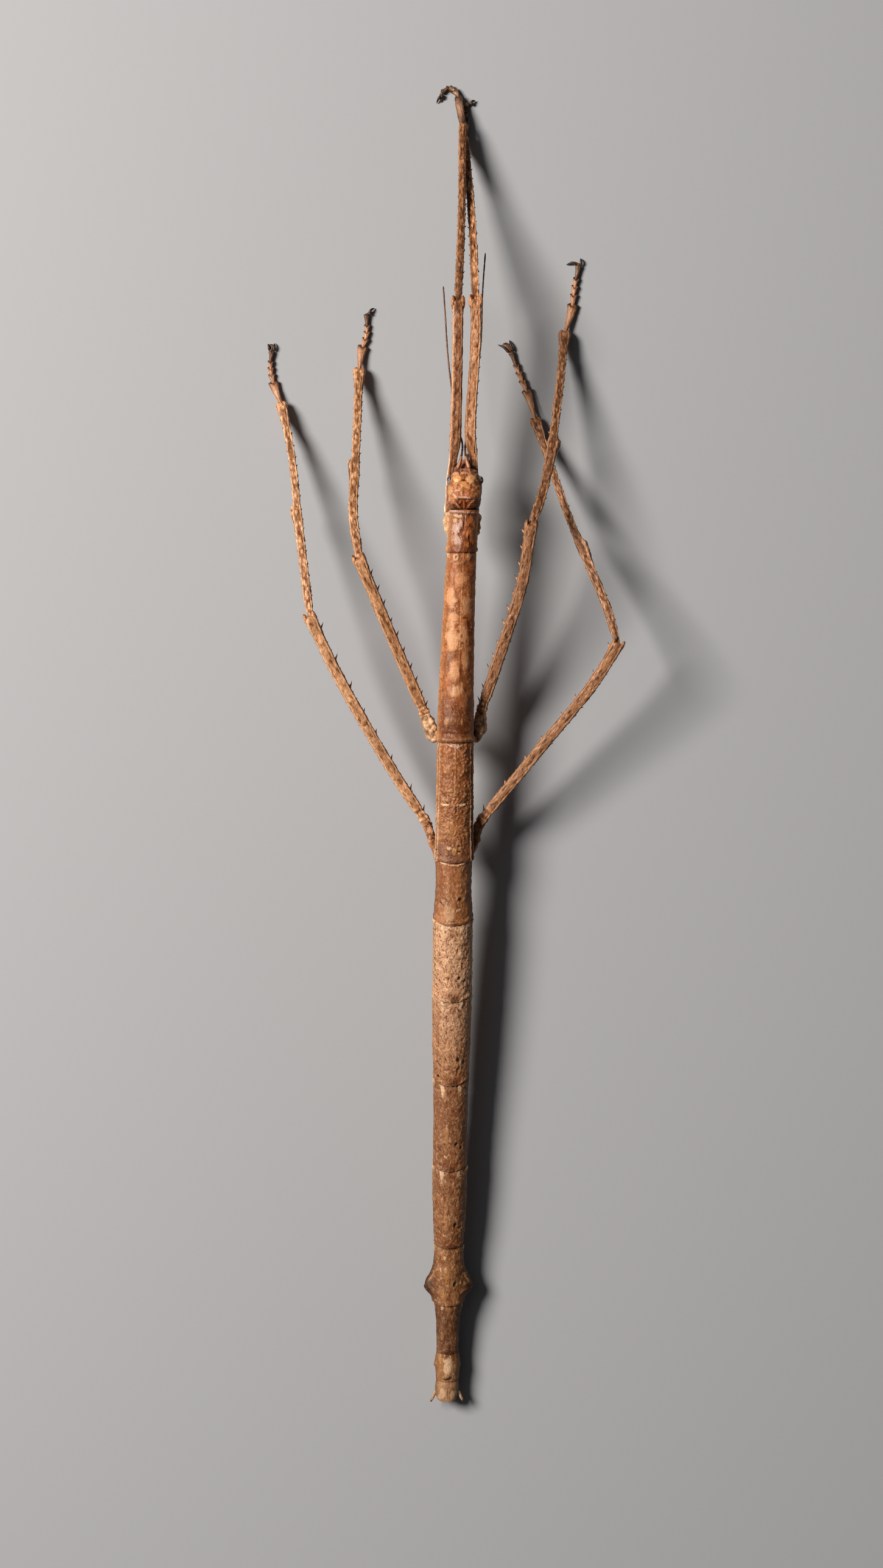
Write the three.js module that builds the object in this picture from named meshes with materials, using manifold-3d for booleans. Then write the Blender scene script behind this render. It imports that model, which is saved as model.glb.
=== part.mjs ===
// Giant stick insect, an adult female at rest on level ground, at life size.
// Millimetres, +Z up, head towards -Y, the animal's left towards +X.
// The origin lies on the ground under the middle of the whole outline, legs and feelers included.
import * as THREE from 'three';
import { mergeVertices } from 'three/addons/utils/BufferGeometryUtils.js';
import Module from 'manifold-3d';

const wasm = await Module();
wasm.setup();

// ---- Driving dimensions ----

const GAP = 0.3;             // between neighbouring solids
const NECK_Y = -62.6;        // where the head meets the prothorax
const AXIS_X = -3.3;         // body axis beside the origin
const AXIS_Z = 17.04;        // height of the body axis above the origin
const AXIS_DRIFT = 0.0125;   // sideways run of the axis for each millimetre towards the tail
const AXIS_BEND = 0.0004;    // bend of the thorax to the right, per square millimetre
const AXIS_FALL = 0.0714;    // fall of the axis for each millimetre towards the tail
const ROOF = [0.9, 0.72];    // height of the back over the half width, at the neck and at the tail
const BELLY = [0.95, 0.85];  // depth of the belly over the half width, at the neck and at the tail
const TRUNK_SIDES = 16;
const LIMB_SIDES = 8;

// Divisions of the trunk from the neck back: length, then the half width at the front, middle and rear.
const TRUNK = [
  { name: 'prothorax', length: 11.5, half: [4.0, 4.1, 4.25], rings: 5, colour: 0xa4683f },
  { name: 'mesothorax', length: 51.6, half: [4.15, 4.6, 5.2], rings: 9, colour: 0xb07a4a },
  { name: 'metathorax', length: 17.4, half: [5.1, 5.1, 5.25], rings: 5, colour: 0x8f5b38 },
  { name: 'median_segment', length: 15.4, half: [5.25, 5.3, 5.55], rings: 5, colour: 0x8f5b38 },
  { name: 'abdomen_2', length: 17.3, half: [5.2, 5.0, 5.55], rings: 5, colour: 0x84523a },
  { name: 'abdomen_3', length: 21.2, half: [5.5, 5.5, 5.5], rings: 5, colour: 0xb08a66 },
  { name: 'abdomen_4', length: 23.3, half: [5.45, 5.35, 4.95], rings: 5, colour: 0xab8460 },
  { name: 'abdomen_5', length: 23.8, half: [4.95, 4.8, 4.8], rings: 5, colour: 0x93664a },
  { name: 'abdomen_6', length: 21.7, half: [4.8, 4.75, 4.05], rings: 5, colour: 0x8b5f45 },
  { name: 'abdomen_7', length: 16.1, half: [4.15, 4.2, 4.35], rings: 12, colour: 0x9a7050 },
  { name: 'abdomen_8', length: 13.8, half: [4.0, 3.3, 3.15], rings: 5, colour: 0x6b4331 },
  { name: 'abdomen_9', length: 7.8, half: [3.2, 3.4, 3.2], rings: 4, colour: 0xa98864 },
  { name: 'abdomen_10', length: 5.7, half: [3.2, 3.35, 2.95], rings: 5, colour: 0xb59472 },
];
const TERGITE_FLOOR = 0.9;   // the last three divisions are roofs that end this far below the axis
const LOBE = { division: 'abdomen_7', place: 0.67, ahead: 4.2, behind: 2.3, reach: 2.6 };

// The head: distance ahead of the neck, half width, height above its axis and depth below it.
const HEAD_X = -5.65;
const HEAD_Z = 21.5;
const HEAD_DRIFT = 0.03;     // sideways run of the head's middle line for each millimetre ahead
const HEAD = [
  [GAP, 3.2, 1.8, 2.6],
  [1.0, 4.0, 2.7, 3.2],
  [2.4, 4.5, 4.0, 3.6],
  [3.8, 4.7, 4.4, 3.8],
  [6.0, 4.7, 4.1, 3.8],
  [8.2, 4.4, 3.7, 3.7],
  [9.8, 4.0, 3.2, 3.6],
  [10.7, 3.3, 2.4, 3.4],
  [11.4, 2.5, 1.5, 2.9],
];
const EYE = { ahead: 8.1, apart: 4.05, rise: 0.8, half: [0.95, 1.15, 1.0], sides: 10, rings: 7 };
const MOUTH = [
  { at: [-5.65, -70.9, 16.3], half: 1.3, up: 0.9, down: 0.9 },
  { at: [-5.6, -72.8, 16.2], half: 1.9, up: 1.3, down: 1.4 },
  { at: [-5.55, -74.6, 16.6], half: 1.6, up: 1.4, down: 1.5 },
  { at: [-5.5, -76.2, 17.3], half: 1.15, up: 1.2, down: 1.4 },
  { at: [-5.45, -77.3, 17.2], half: 0.7, up: 0.8, down: 0.9 },
];
const ANTENNA = {
  scape: 0.55, scapeEnd: 0.05, flagellum: 0.3, tip: 0.26, steps: 18, crowding: 1.3, sides: 5,
};
const ANTENNA_LEFT = [
  [-3.9, -74.35, 21.9], [-4.7, -76.4, 21.0], [-5.1, -78.6, 19.2], [-5.2, -81.4, 16.8],
  [-4.0, -86.2, 16.3], [-1.5, -103.0, 16.2], [-0.5, -117.5, 14.5], [0.0, -125.3, 13.0],
];
const ANTENNA_RIGHT = [
  [-7.1, -74.35, 21.9], [-6.3, -76.4, 21.0], [-6.0, -78.6, 19.2], [-6.1, -81.4, 16.8],
  [-7.2, -86.2, 16.3], [-10.2, -108.0, 15.8], [-10.8, -123.4, 14.2], [-11.6, -134.6, 12.6],
];

// The plate under the tail that carries the egg: the tail rests on its flat keel.
const PLATE = {
  front: 157.3, rear: 182.6, rings: 9, sides: 12, half: 2.9, taper: 0.28, top: TERGITE_FLOOR + GAP,
  keel: 3.7,      // depth below the axis at the front
  deepening: 1.9, // what the keel gains by the rear
  sole: 0.5,      // how far below the ground the keel would reach before it is cut flat there
  toe: 0.45,      // share of the depth lost in the short upturned toe
};
const CERCUS = { y: 181.6, apart: 3.45, rise: 0.2, length: 2.6, splay: 0.8, half: [0.55, 0.3], sides: 6 };

// Legs: the half width of each long piece, then its stance as places along the middle line.
const PAIRS = {
  fore: { femur: 1.65, tibia: 1.25, tarsus: 1.2 },
  mid: { femur: 1.6, tibia: 1.25, tarsus: 1.1 },
  hind: { femur: 1.55, tibia: 1.15, tarsus: 1.1 },
};
const STANCE = {
  fore_left: {
    coxa: [[-2.0, -56.6, 18.6], [-1.6, -59.5, 17.2], [-1.5, -62.4, 16.2]],
    femur: [[-1.5, -62.4, 16.2], [-1.8, -70.4, 16.0], [-2.7, -76.8, 17.8], [-3.3, -83.1, 19.6],
      [-3.9, -108.4, 23.4], [-4.0, -118.8, 24.8]],
    tibia: [[-4.0, -118.8, 24.8], [-5.0, -142.9, 15.4], [-5.4, -172.0, 4.3]],
    tarsus: [[-5.4, -172.0, 4.3], [-4.6, -177.4, 2.7], [-3.8, -181.4, 1.4], [-1.7, -183.1, 0.8],
      [0.6, -181.9, 0.8]],
    claws: [[1.9, -178.9, 0.4], [0.0, -179.9, 0.4]],
  },
  fore_right: {
    coxa: [[-8.6, -56.6, 18.6], [-9.0, -59.5, 17.2], [-9.3, -62.4, 16.2]],
    femur: [[-9.3, -62.4, 16.2], [-9.1, -70.4, 15.9], [-8.3, -76.8, 17.6], [-7.4, -83.1, 19.6],
      [-8.8, -108.4, 23.4], [-8.8, -119.2, 24.6]],
    tibia: [[-8.8, -119.2, 24.6], [-7.9, -143.3, 13.3], [-6.1, -168.8, 1.7]],
    tarsus: [[-6.1, -168.8, 1.7], [-6.3, -173.5, 0.8], [-6.3, -177.2, 0.8], [-6.9, -179.1, 0.8]],
    claws: [[-8.5, -178.2, 0.4], [-9.1, -179.7, 0.4]],
  },
  mid_left: {
    coxa: [[2.2, 0.6, 14.8], [3.8, -3.2, 14.2], [5.0, -7.0, 14.0]],
    femur: [[5.0, -7.0, 14.0], [13.9, -27.6, 19.6], [21.5, -45.7, 25.2], [22.8, -48.9, 26.0]],
    tibia: [[22.8, -48.9, 26.0], [24.6, -62.0, 20.3], [24.2, -75.6, 14.3], [23.5, -103.8, 2.1]],
    tarsus: [[23.5, -103.8, 2.1], [22.7, -109.0, 0.9], [21.5, -114.0, 0.8], [21.5, -119.9, 0.8]],
    claws: [[19.2, -121.6, 0.4], [20.0, -119.6, 0.4]],
  },
  mid_right: {
    coxa: [[-8.4, 0.6, 14.8], [-9.9, -3.6, 14.2], [-10.3, -7.8, 14.0]],
    femur: [[-10.3, -7.8, 14.0], [-16.4, -26.0, 18.0], [-21.4, -42.4, 21.9], [-23.8, -58.0, 25.6]],
    tibia: [[-23.8, -58.0, 25.6], [-27.5, -69.0, 21.1], [-31.4, -90.2, 12.1], [-34.4, -114.2, 2.1]],
    tarsus: [[-34.4, -114.2, 2.1], [-36.1, -120.8, 0.8], [-36.8, -127.0, 0.8], [-38.0, -133.6, 0.8]],
    claws: [[-34.4, -133.7, 0.4], [-38.5, -135.6, 0.4]],
  },
  hind_left: {
    coxa: [[2.0, 33.2, 13.6], [3.7, 28.0, 12.7], [4.9, 22.8, 12.7]],
    femur: [[4.9, 22.8, 12.7], [15.6, 5.6, 16.0], [29.6, -19.2, 20.9], [36.2, -33.2, 23.7]],
    tibia: [[36.2, -33.2, 23.7], [38.9, -52.8, 16.8], [42.4, -80.8, 6.8], [45.3, -94.3, 2.1]],
    tarsus: [[45.3, -94.3, 2.1], [47.6, -100.4, 0.8], [48.4, -105.0, 0.8], [48.1, -109.6, 0.8]],
    claws: [[47.2, -111.8, 0.4], [49.2, -111.6, 0.4]],
  },
  hind_right: {
    coxa: [[-7.8, 33.2, 13.6], [-9.4, 28.0, 12.7], [-10.3, 22.6, 12.7]],
    femur: [[-10.3, 22.6, 12.7], [-25.2, 4.0, 17.0], [-41.3, -15.9, 21.6], [-47.4, -26.0, 24.0]],
    tibia: [[-47.4, -26.0, 24.0], [-44.4, -36.6, 20.8], [-35.2, -60.2, 12.5], [-25.7, -90.0, 2.1]],
    tarsus: [[-25.7, -90.0, 2.1], [-23.9, -96.9, 0.8], [-21.6, -102.3, 0.8], [-18.9, -109.3, 0.8]],
    claws: [[-15.2, -111.3, 0.4], [-18.5, -112.7, 0.4]],
  },
};

// Widths along each limb, as shares of its half width, and the spines on the femur and tibia.
const FORE_FEMUR_WIDTHS = [[0, 0.8], [0.24, 0.76], [0.36, 1.08], [0.6, 1.0], [0.94, 1.0], [1, 1.05]];
const FEMUR_WIDTHS = [[0, 0.85], [0.1, 1], [0.9, 1], [0.96, 1.12], [1, 1.05]];
const TIBIA_WIDTHS = [[0, 0.9], [0.06, 1], [0.85, 1], [0.95, 1.45], [1, 1.3]];
const COXA_WIDTHS = [[0, 0.9], [0.5, 1.1], [1, 0.85]];
const TARSOMERES = [0, 0.4, 0.56, 0.69, 0.78, 1];
const TARSUS = { waist: 0.62, taper: 0.07, neck: 0.12, halfHeight: 0.8, sole: 0.92 };
const SPINES = {
  foreFemur: { count: 4, from: 0.36, to: 0.98, radius: 0.4, length: 1.2 },
  femur: { count: 5, from: 0.12, to: 0.98, radius: 0.4, length: 1.3 },
  tibia: { count: 3, from: 0.12, to: 0.88, radius: 0.3, length: 0.8 },
};
const SPINE = { lean: 0.5, rooted: 0.3, outward: 0.8, lowered: 0.3, sides: 4 };
const CLAW = { sides: 4, steps: 3, root: 0.5, tip: 0.3, pad: 0.55, arch: 0.5 };
const LIMB_FLATNESS = 0.95;  // height of a limb over its width

const CUTICLE = { roughness: 0.62, metalness: 0 };

// ---- Shared geometry ----

const UP = new THREE.Vector3(0, 0, 1);

function vector(place) {
  return new THREE.Vector3(...place);
}

function share(table, t) {
  const after = Math.max(1, table.findIndex(([place]) => place >= t));
  const [t0, value0] = table[after - 1];
  const [t1, value1] = table[after];
  return THREE.MathUtils.mapLinear(t, t0, t1, value0, value1);
}

// A closed tube through a row of stations. Each station has a place, the direction of the tube there,
// a half width, a height above and a depth below; low and high cut its section flat.
function tube(stations, sides) {
  const last = stations.length - 1;
  const geometry = new THREE.CylinderGeometry(1, 1, last, sides, last, false, Math.PI / sides);
  const position = geometry.attributes.position;
  for (let i = 0; i < position.count; i += 1) {
    const station = stations[Math.round(position.getY(i) + last / 2)];
    const across = new THREE.Vector3().crossVectors(station.towards, UP).normalize();
    const upward = new THREE.Vector3().crossVectors(across, station.towards).normalize();
    const unit = position.getX(i);
    const level = position.getZ(i);
    const lobe = (station.lobe ?? 0) * Math.abs(unit) ** 8 * Math.sign(unit);
    const rise = THREE.MathUtils.clamp(
      level * (level > 0 ? station.up : station.down),
      station.low ?? -Infinity,
      station.high ?? Infinity,
    );
    const point = vector(station.at.toArray())
      .addScaledVector(across, unit * station.half + lobe)
      .addScaledVector(upward, rise);
    position.setXYZ(i, point.x, point.y, Math.max(point.z, 0));
  }
  return merged(geometry);
}

function merged(geometry) {
  geometry.deleteAttribute('normal');
  geometry.deleteAttribute('uv');
  return mergeVertices(geometry, 1e-4);
}

function solid(geometry) {
  return new wasm.Manifold(new wasm.Mesh({
    numProp: 3,
    vertProperties: Float32Array.from(geometry.attributes.position.array),
    triVerts: Uint32Array.from(geometry.index.array),
  }));
}

function surface(shape) {
  const { vertProperties, triVerts } = shape.getMesh();
  const geometry = new THREE.BufferGeometry();
  geometry.setAttribute('position', new THREE.BufferAttribute(vertProperties, 3));
  geometry.setIndex(new THREE.BufferAttribute(triVerts, 1));
  return geometry;
}

const insect = new THREE.Group();

function add(name, geometry, colour, finish = CUTICLE) {
  geometry.computeVertexNormals();
  const mesh = new THREE.Mesh(geometry, new THREE.MeshStandardMaterial({ color: colour, ...finish }));
  mesh.name = name;
  insect.add(mesh);
}

// ---- Trunk ----

const TAIL_Y = NECK_Y + TRUNK.reduce((total, { length }) => total + length, 0);

function axis(y) {
  const bend = AXIS_BEND * Math.min(y, 0) ** 2;
  return new THREE.Vector3(AXIS_X + AXIS_DRIFT * y - bend, y, AXIS_Z - AXIS_FALL * y);
}

function trunkStation(division, start, t, swell = 0) {
  const y = start + t * division.length;
  const [front, middle, rear] = division.half;
  const half = front * (1 - t) * (1 - 2 * t) + 4 * middle * t * (1 - t) + rear * t * (2 * t - 1) + swell;
  const isRoof = ['abdomen_8', 'abdomen_9', 'abdomen_10'].includes(division.name);
  const fromLobe = (t - LOBE.place) * division.length / (t < LOBE.place ? LOBE.ahead : LOBE.behind);
  return {
    at: axis(y),
    towards: axis(y + 1).sub(axis(y - 1)).normalize(),
    half,
    up: half * THREE.MathUtils.mapLinear(y, NECK_Y, TAIL_Y, ...ROOF) + swell,
    down: half * THREE.MathUtils.mapLinear(y, NECK_Y, TAIL_Y, ...BELLY) + swell,
    low: isRoof ? -TERGITE_FLOOR : undefined,
    lobe: division.name === LOBE.division ? LOBE.reach * Math.exp(-(fromLobe ** 2)) : 0,
  };
}

// A division of the trunk; swell makes the slightly fatter shape that a coxa is cut away from.
function trunkDivision(division, start, swell = 0) {
  const trim = swell > 0 ? 0 : GAP / 2 / division.length;
  const stations = [];
  for (let ring = 0; ring < division.rings; ring += 1) {
    const t = THREE.MathUtils.lerp(trim, 1 - trim, ring / (division.rings - 1));
    stations.push(trunkStation(division, start, t, swell));
  }
  return tube(stations, TRUNK_SIDES);
}

const trunkStart = {};
let reached = NECK_Y;
for (const division of TRUNK) {
  trunkStart[division.name] = reached;
  add(division.name, trunkDivision(division, reached), division.colour);
  reached += division.length;
}

// ---- Plate under the tail and the two tail feelers ----

function tailPlate() {
  const stations = [];
  for (let ring = 0; ring < PLATE.rings; ring += 1) {
    const t = ring / (PLATE.rings - 1);
    const y = THREE.MathUtils.lerp(PLATE.front, PLATE.rear, t);
    const at = axis(y);
    const keel = Math.min(PLATE.keel + PLATE.deepening * t, at.z + PLATE.sole);
    stations.push({
      at,
      towards: axis(y + 1).sub(axis(y - 1)).normalize(),
      half: PLATE.half * (1 - PLATE.taper * t ** 3),
      up: 0,
      down: keel * (1 - PLATE.toe * t ** 16),
      high: -PLATE.top,
    });
  }
  return tube(stations, PLATE.sides);
}

function cercus(side) {
  const root = axis(CERCUS.y);
  const base = root.clone().add(new THREE.Vector3(side * (CERCUS.apart + GAP), 0, CERCUS.rise));
  const towards = new THREE.Vector3(side * CERCUS.splay, CERCUS.length, 0).normalize();
  const stations = [0, 0.3, 0.7, 1].map((t) => {
    const half = THREE.MathUtils.lerp(...CERCUS.half, t);
    const at = base.clone().addScaledVector(towards, t * CERCUS.length);
    return { at, towards, half, up: half, down: half };
  });
  return tube(stations, CERCUS.sides);
}

add('operculum', tailPlate(), 0x8a6548);
add('cercus_left', cercus(1), 0xc0a080);
add('cercus_right', cercus(-1), 0xc0a080);

// ---- Head, eyes, mouthparts and antennae ----

function headPlace(ahead, aside = 0, rise = 0) {
  return new THREE.Vector3(HEAD_X - HEAD_DRIFT * ahead + aside, NECK_Y - ahead, HEAD_Z + rise);
}

function eye(side, swell = 0) {
  const geometry = new THREE.SphereGeometry(1, EYE.sides, EYE.rings);
  const place = headPlace(EYE.ahead, side * EYE.apart, EYE.rise);
  geometry.scale(...EYE.half.map((half) => half + swell));
  geometry.rotateX(Math.PI / 2);
  geometry.translate(place.x, place.y, place.z);
  return merged(geometry);
}

function head() {
  const towards = new THREE.Vector3(0, -1, 0);
  const stations = HEAD.map(([ahead, half, up, down]) => {
    const at = headPlace(ahead);
    return { at, towards, half, up, down };
  });
  const sockets = solid(eye(1, GAP)).add(solid(eye(-1, GAP)));
  return surface(solid(tube(stations, TRUNK_SIDES)).subtract(sockets));
}

function mouthparts() {
  const towards = new THREE.Vector3(0, -1, 0);
  const stations = MOUTH.map(({ at, half, up, down }) => ({ at: vector(at), towards, half, up, down }));
  return tube(stations, LIMB_SIDES);
}

function antenna(places) {
  const curve = new THREE.CatmullRomCurve3(places.map(vector));
  const stations = [];
  for (let step = 0; step <= ANTENNA.steps; step += 1) {
    const t = (step / ANTENNA.steps) ** ANTENNA.crowding;
    const thread = THREE.MathUtils.lerp(ANTENNA.flagellum, ANTENNA.tip, t);
    const half = t < ANTENNA.scapeEnd ? ANTENNA.scape : thread;
    stations.push({ at: curve.getPointAt(t), towards: curve.getTangentAt(t), half, up: half, down: half });
  }
  return tube(stations, ANTENNA.sides);
}

add('head', head(), 0xa0643c);
add('eye_left', eye(1), 0x4a4038, { roughness: 0.25, metalness: 0 });
add('eye_right', eye(-1), 0x4a4038, { roughness: 0.25, metalness: 0 });
add('mouthparts', mouthparts(), 0x7a4a32);
add('antenna_left', antenna(ANTENNA_LEFT), 0x8a6040);
add('antenna_right', antenna(ANTENNA_RIGHT), 0x8a6040);

// ---- Legs ----

// Stations along a curve; the first and last rings face the joint planes shared with the neighbours.
function limb(places, half, widths, count, joints) {
  const curve = new THREE.CatmullRomCurve3(places.map(vector), false, 'centripetal');
  const trim = GAP / 2 / curve.getLength();
  const frame = (share01) => {
    const t = THREE.MathUtils.lerp(trim, 1 - trim, share01);
    const size = half * share(widths, share01);
    const depth = size * LIMB_FLATNESS;
    return { at: curve.getPointAt(t), towards: curve.getTangentAt(t), half: size, up: depth, down: depth };
  };
  const stations = [];
  for (let ring = 0; ring < count; ring += 1) {
    stations.push(frame(ring / (count - 1)));
  }
  stations[0].towards = joints[0] ?? stations[0].towards;
  stations[count - 1].towards = joints[1] ?? stations[count - 1].towards;
  return { stations, frame };
}

function jointPlane(before, after) {
  const arriving = vector(before.at(-1)).sub(vector(before.at(-2))).normalize();
  const leaving = vector(after[1]).sub(vector(after[0])).normalize();
  return arriving.add(leaving).normalize();
}

// Pointed spines in rows along the lower edges, joined to the limb. Each row has a side and a size.
function withSpines(base, frame, spines, rows) {
  let shape = solid(base);
  for (const [row, [edge, size]] of rows.entries()) {
    for (let i = 0; i < spines.count; i += 1) {
      const at = frame(THREE.MathUtils.lerp(spines.from, spines.to, (i + row * 0.5) / spines.count));
      const across = new THREE.Vector3().crossVectors(at.towards, UP).normalize().multiplyScalar(edge);
      const root = at.at.clone()
        .addScaledVector(across, at.half * SPINE.outward)
        .addScaledVector(UP, -at.down * SPINE.lowered);
      const pointing = across.clone().addScaledVector(at.towards, SPINE.lean).normalize();
      const length = spines.length * size + SPINE.rooted;
      const spine = new THREE.ConeGeometry(spines.radius * size, length, SPINE.sides);
      spine.translate(0, length / 2, 0);
      spine.applyQuaternion(new THREE.Quaternion().setFromUnitVectors(new THREE.Vector3(0, 1, 0), pointing));
      spine.translate(root.x, root.y, root.z);
      shape = shape.add(solid(merged(spine)));
    }
  }
  return surface(shape);
}

// Five tarsomeres in one piece, each flaring towards its far end, flat where they meet the ground.
function tarsus(places, half, joint) {
  const curve = new THREE.CatmullRomCurve3(places.map(vector), false, 'centripetal');
  const trim = GAP / 2 / curve.getLength();
  const stations = [];
  const ring = (t, width) => {
    const place = THREE.MathUtils.lerp(trim, 1 - trim, t);
    stations.push({
      at: curve.getPointAt(place),
      towards: curve.getTangentAt(place),
      half: half * width,
      up: TARSUS.halfHeight * THREE.MathUtils.lerp(TARSUS.waist, 1, width),
      down: TARSUS.sole,
    });
  };
  for (let i = 0; i < TARSOMERES.length - 1; i += 1) {
    const neck = TARSUS.neck * (TARSOMERES[i + 1] - TARSOMERES[i]);
    ring(TARSOMERES[i] + (i > 0 ? neck : 0), TARSUS.waist);
    ring(TARSOMERES[i + 1] - neck, 1 - TARSUS.taper * i);
  }
  ring(1, TARSUS.waist);
  stations[0].towards = joint;
  return tube(stations, LIMB_SIDES);
}

// Two hooked claws that spring from a rounded pad at the end of the foot.
function claws(places, tips) {
  const end = vector(places.at(-1));
  const heading = end.clone().sub(vector(places.at(-2))).normalize();
  const pad = new THREE.SphereGeometry(CLAW.pad, 6, 4);
  const centre = end.clone().addScaledVector(heading, CLAW.pad + GAP);
  pad.translate(centre.x, centre.y, centre.z);
  let shape = solid(merged(pad));
  for (const tip of tips) {
    const bulge = vector(tip).lerp(centre, 0.5).addScaledVector(heading, CLAW.arch);
    const curve = new THREE.QuadraticBezierCurve3(centre, bulge, vector(tip));
    const stations = [];
    for (let step = 0; step <= CLAW.steps; step += 1) {
      const t = step / CLAW.steps;
      const half = THREE.MathUtils.lerp(CLAW.root, CLAW.tip, t);
      stations.push({ at: curve.getPoint(t), towards: curve.getTangent(t), half, up: half, down: half });
    }
    shape = shape.add(solid(tube(stations, CLAW.sides)));
  }
  return surface(shape);
}

const COXA_HOME = {
  fore: ['prothorax'],
  mid: ['mesothorax', 'metathorax'],
  hind: ['median_segment', 'abdomen_2'],
};
const RINGS = { coxa: 4, foreFemur: 10, femur: 8, tibia: 8 };

// The hip piece grows out of the trunk: the divisions it springs from are cut away from it.
function coxa(places, half, pair, hip) {
  let shape = solid(tube(limb(places, half, COXA_WIDTHS, RINGS.coxa, [null, hip]).stations, LIMB_SIDES));
  for (const division of TRUNK.filter(({ name }) => COXA_HOME[pair].includes(name))) {
    shape = shape.subtract(solid(trunkDivision(division, trunkStart[division.name], GAP)));
  }
  return surface(shape);
}

for (const [leg, stance] of Object.entries(STANCE)) {
  const pair = leg.split('_')[0];
  const isFore = pair === 'fore';
  const inner = leg.endsWith('left') ? 1 : -1;
  const rows = isFore ? [[-inner, 0.7]] : [[inner, 1], [-inner, 0.65]];
  const half = PAIRS[pair];
  const hip = jointPlane(stance.coxa, stance.femur);
  const knee = jointPlane(stance.femur, stance.tibia);
  const ankle = jointPlane(stance.tibia, stance.tarsus);
  const thighWidths = isFore ? FORE_FEMUR_WIDTHS : FEMUR_WIDTHS;
  const thighSpines = isFore ? SPINES.foreFemur : SPINES.femur;
  const thighRings = isFore ? RINGS.foreFemur : RINGS.femur;
  const thigh = limb(stance.femur, half.femur, thighWidths, thighRings, [hip, knee]);
  const shin = limb(stance.tibia, half.tibia, TIBIA_WIDTHS, RINGS.tibia, [knee, ankle]);
  const femur = withSpines(tube(thigh.stations, LIMB_SIDES), thigh.frame, thighSpines, rows);
  const tibia = withSpines(tube(shin.stations, LIMB_SIDES), shin.frame, SPINES.tibia, rows);
  add(`coxa_${leg}`, coxa(stance.coxa, half.femur, pair, hip), 0x9a6a48);
  add(`femur_${leg}`, femur, 0xa87450);
  add(`tibia_${leg}`, tibia, 0xa87450);
  add(`tarsus_${leg}`, tarsus(stance.tarsus, half.tarsus, ankle), 0x6a4436);
  add(`claws_${leg}`, claws(stance.tarsus, stance.claws), 0x2c1c18);
}

export default insect;
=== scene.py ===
import math
import random

import bmesh
import bpy
import numpy as np
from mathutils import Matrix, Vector, noise


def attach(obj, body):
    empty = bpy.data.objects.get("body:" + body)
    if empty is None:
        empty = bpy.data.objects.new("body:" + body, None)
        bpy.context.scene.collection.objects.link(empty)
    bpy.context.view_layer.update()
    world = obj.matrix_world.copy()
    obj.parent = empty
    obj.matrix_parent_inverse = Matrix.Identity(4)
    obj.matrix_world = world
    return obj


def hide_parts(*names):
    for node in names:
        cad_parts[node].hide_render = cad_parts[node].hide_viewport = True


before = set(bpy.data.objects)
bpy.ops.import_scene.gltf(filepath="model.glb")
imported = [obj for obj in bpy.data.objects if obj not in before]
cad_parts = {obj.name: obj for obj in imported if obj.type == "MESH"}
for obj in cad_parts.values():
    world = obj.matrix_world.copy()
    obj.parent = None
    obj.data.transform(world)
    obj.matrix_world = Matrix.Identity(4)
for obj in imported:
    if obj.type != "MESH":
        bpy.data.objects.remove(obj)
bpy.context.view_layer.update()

# ---- Trunk: the thorax and the abdomen ----
# The insect's trunk is a row of hard rings of cuticle, each tucked under the rear rim of the one ahead.
# The thorax and the abdomen are each one closed skin, with the rims, keels, pits and wrinkles raised on it.

MM = 0.001
NECK_Y = -62.6
# Each ring: name, length, then half width at its front, middle and rear, and how far its rear rim bows back.
RINGS = [
    ("prothorax", 11.5, (4.0, 4.1, 4.25), 0.3),
    ("mesothorax", 51.6, (4.15, 4.6, 5.2), 0.3),
    ("metathorax", 17.4, (5.1, 5.1, 5.25), 0.4),
    ("median_segment", 15.4, (5.25, 5.3, 5.55), 0.7),
    ("abdomen_2", 17.3, (5.2, 5.0, 5.55), 2.2),
    ("abdomen_3", 21.2, (5.5, 5.5, 5.5), 2.7),
    ("abdomen_4", 23.3, (5.45, 5.35, 4.95), 2.5),
    ("abdomen_5", 23.8, (4.95, 4.8, 4.8), 2.0),
    ("abdomen_6", 21.7, (4.8, 4.75, 4.05), 1.3),
    ("abdomen_7", 16.1, (4.15, 4.2, 4.35), 0.9),
    ("abdomen_8", 13.8, (4.0, 3.3, 3.15), 0.5),
    ("abdomen_9", 7.8, (3.2, 3.4, 3.2), 0.4),
    ("abdomen_10", 5.7, (3.2, 3.35, 2.95), 0.0),
]
LENGTHS = np.array([length for _, length, _, _ in RINGS])
STARTS = NECK_Y + np.concatenate([[0], np.cumsum(LENGTHS)[:-1]])
TAIL_Y = NECK_Y + LENGTHS.sum()
HALVES = np.array([half for _, _, half, _ in RINGS])
BOWS = np.array([bow for _, _, _, bow in RINGS])
ROOF = (0.9, 0.72)
BELLY = (0.95, 0.85)
TERGITE_FLOOR = 0.9
SKIN_INSET = 0.08


def dye(red, green, blue):
    """A colour as a paint chart gives it, made linear for the shaders."""
    share = np.array([red, green, blue]) / 255
    return np.where(share < 0.04045, share / 12.92, ((share + 0.055) / 1.055) ** 2.4)


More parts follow.
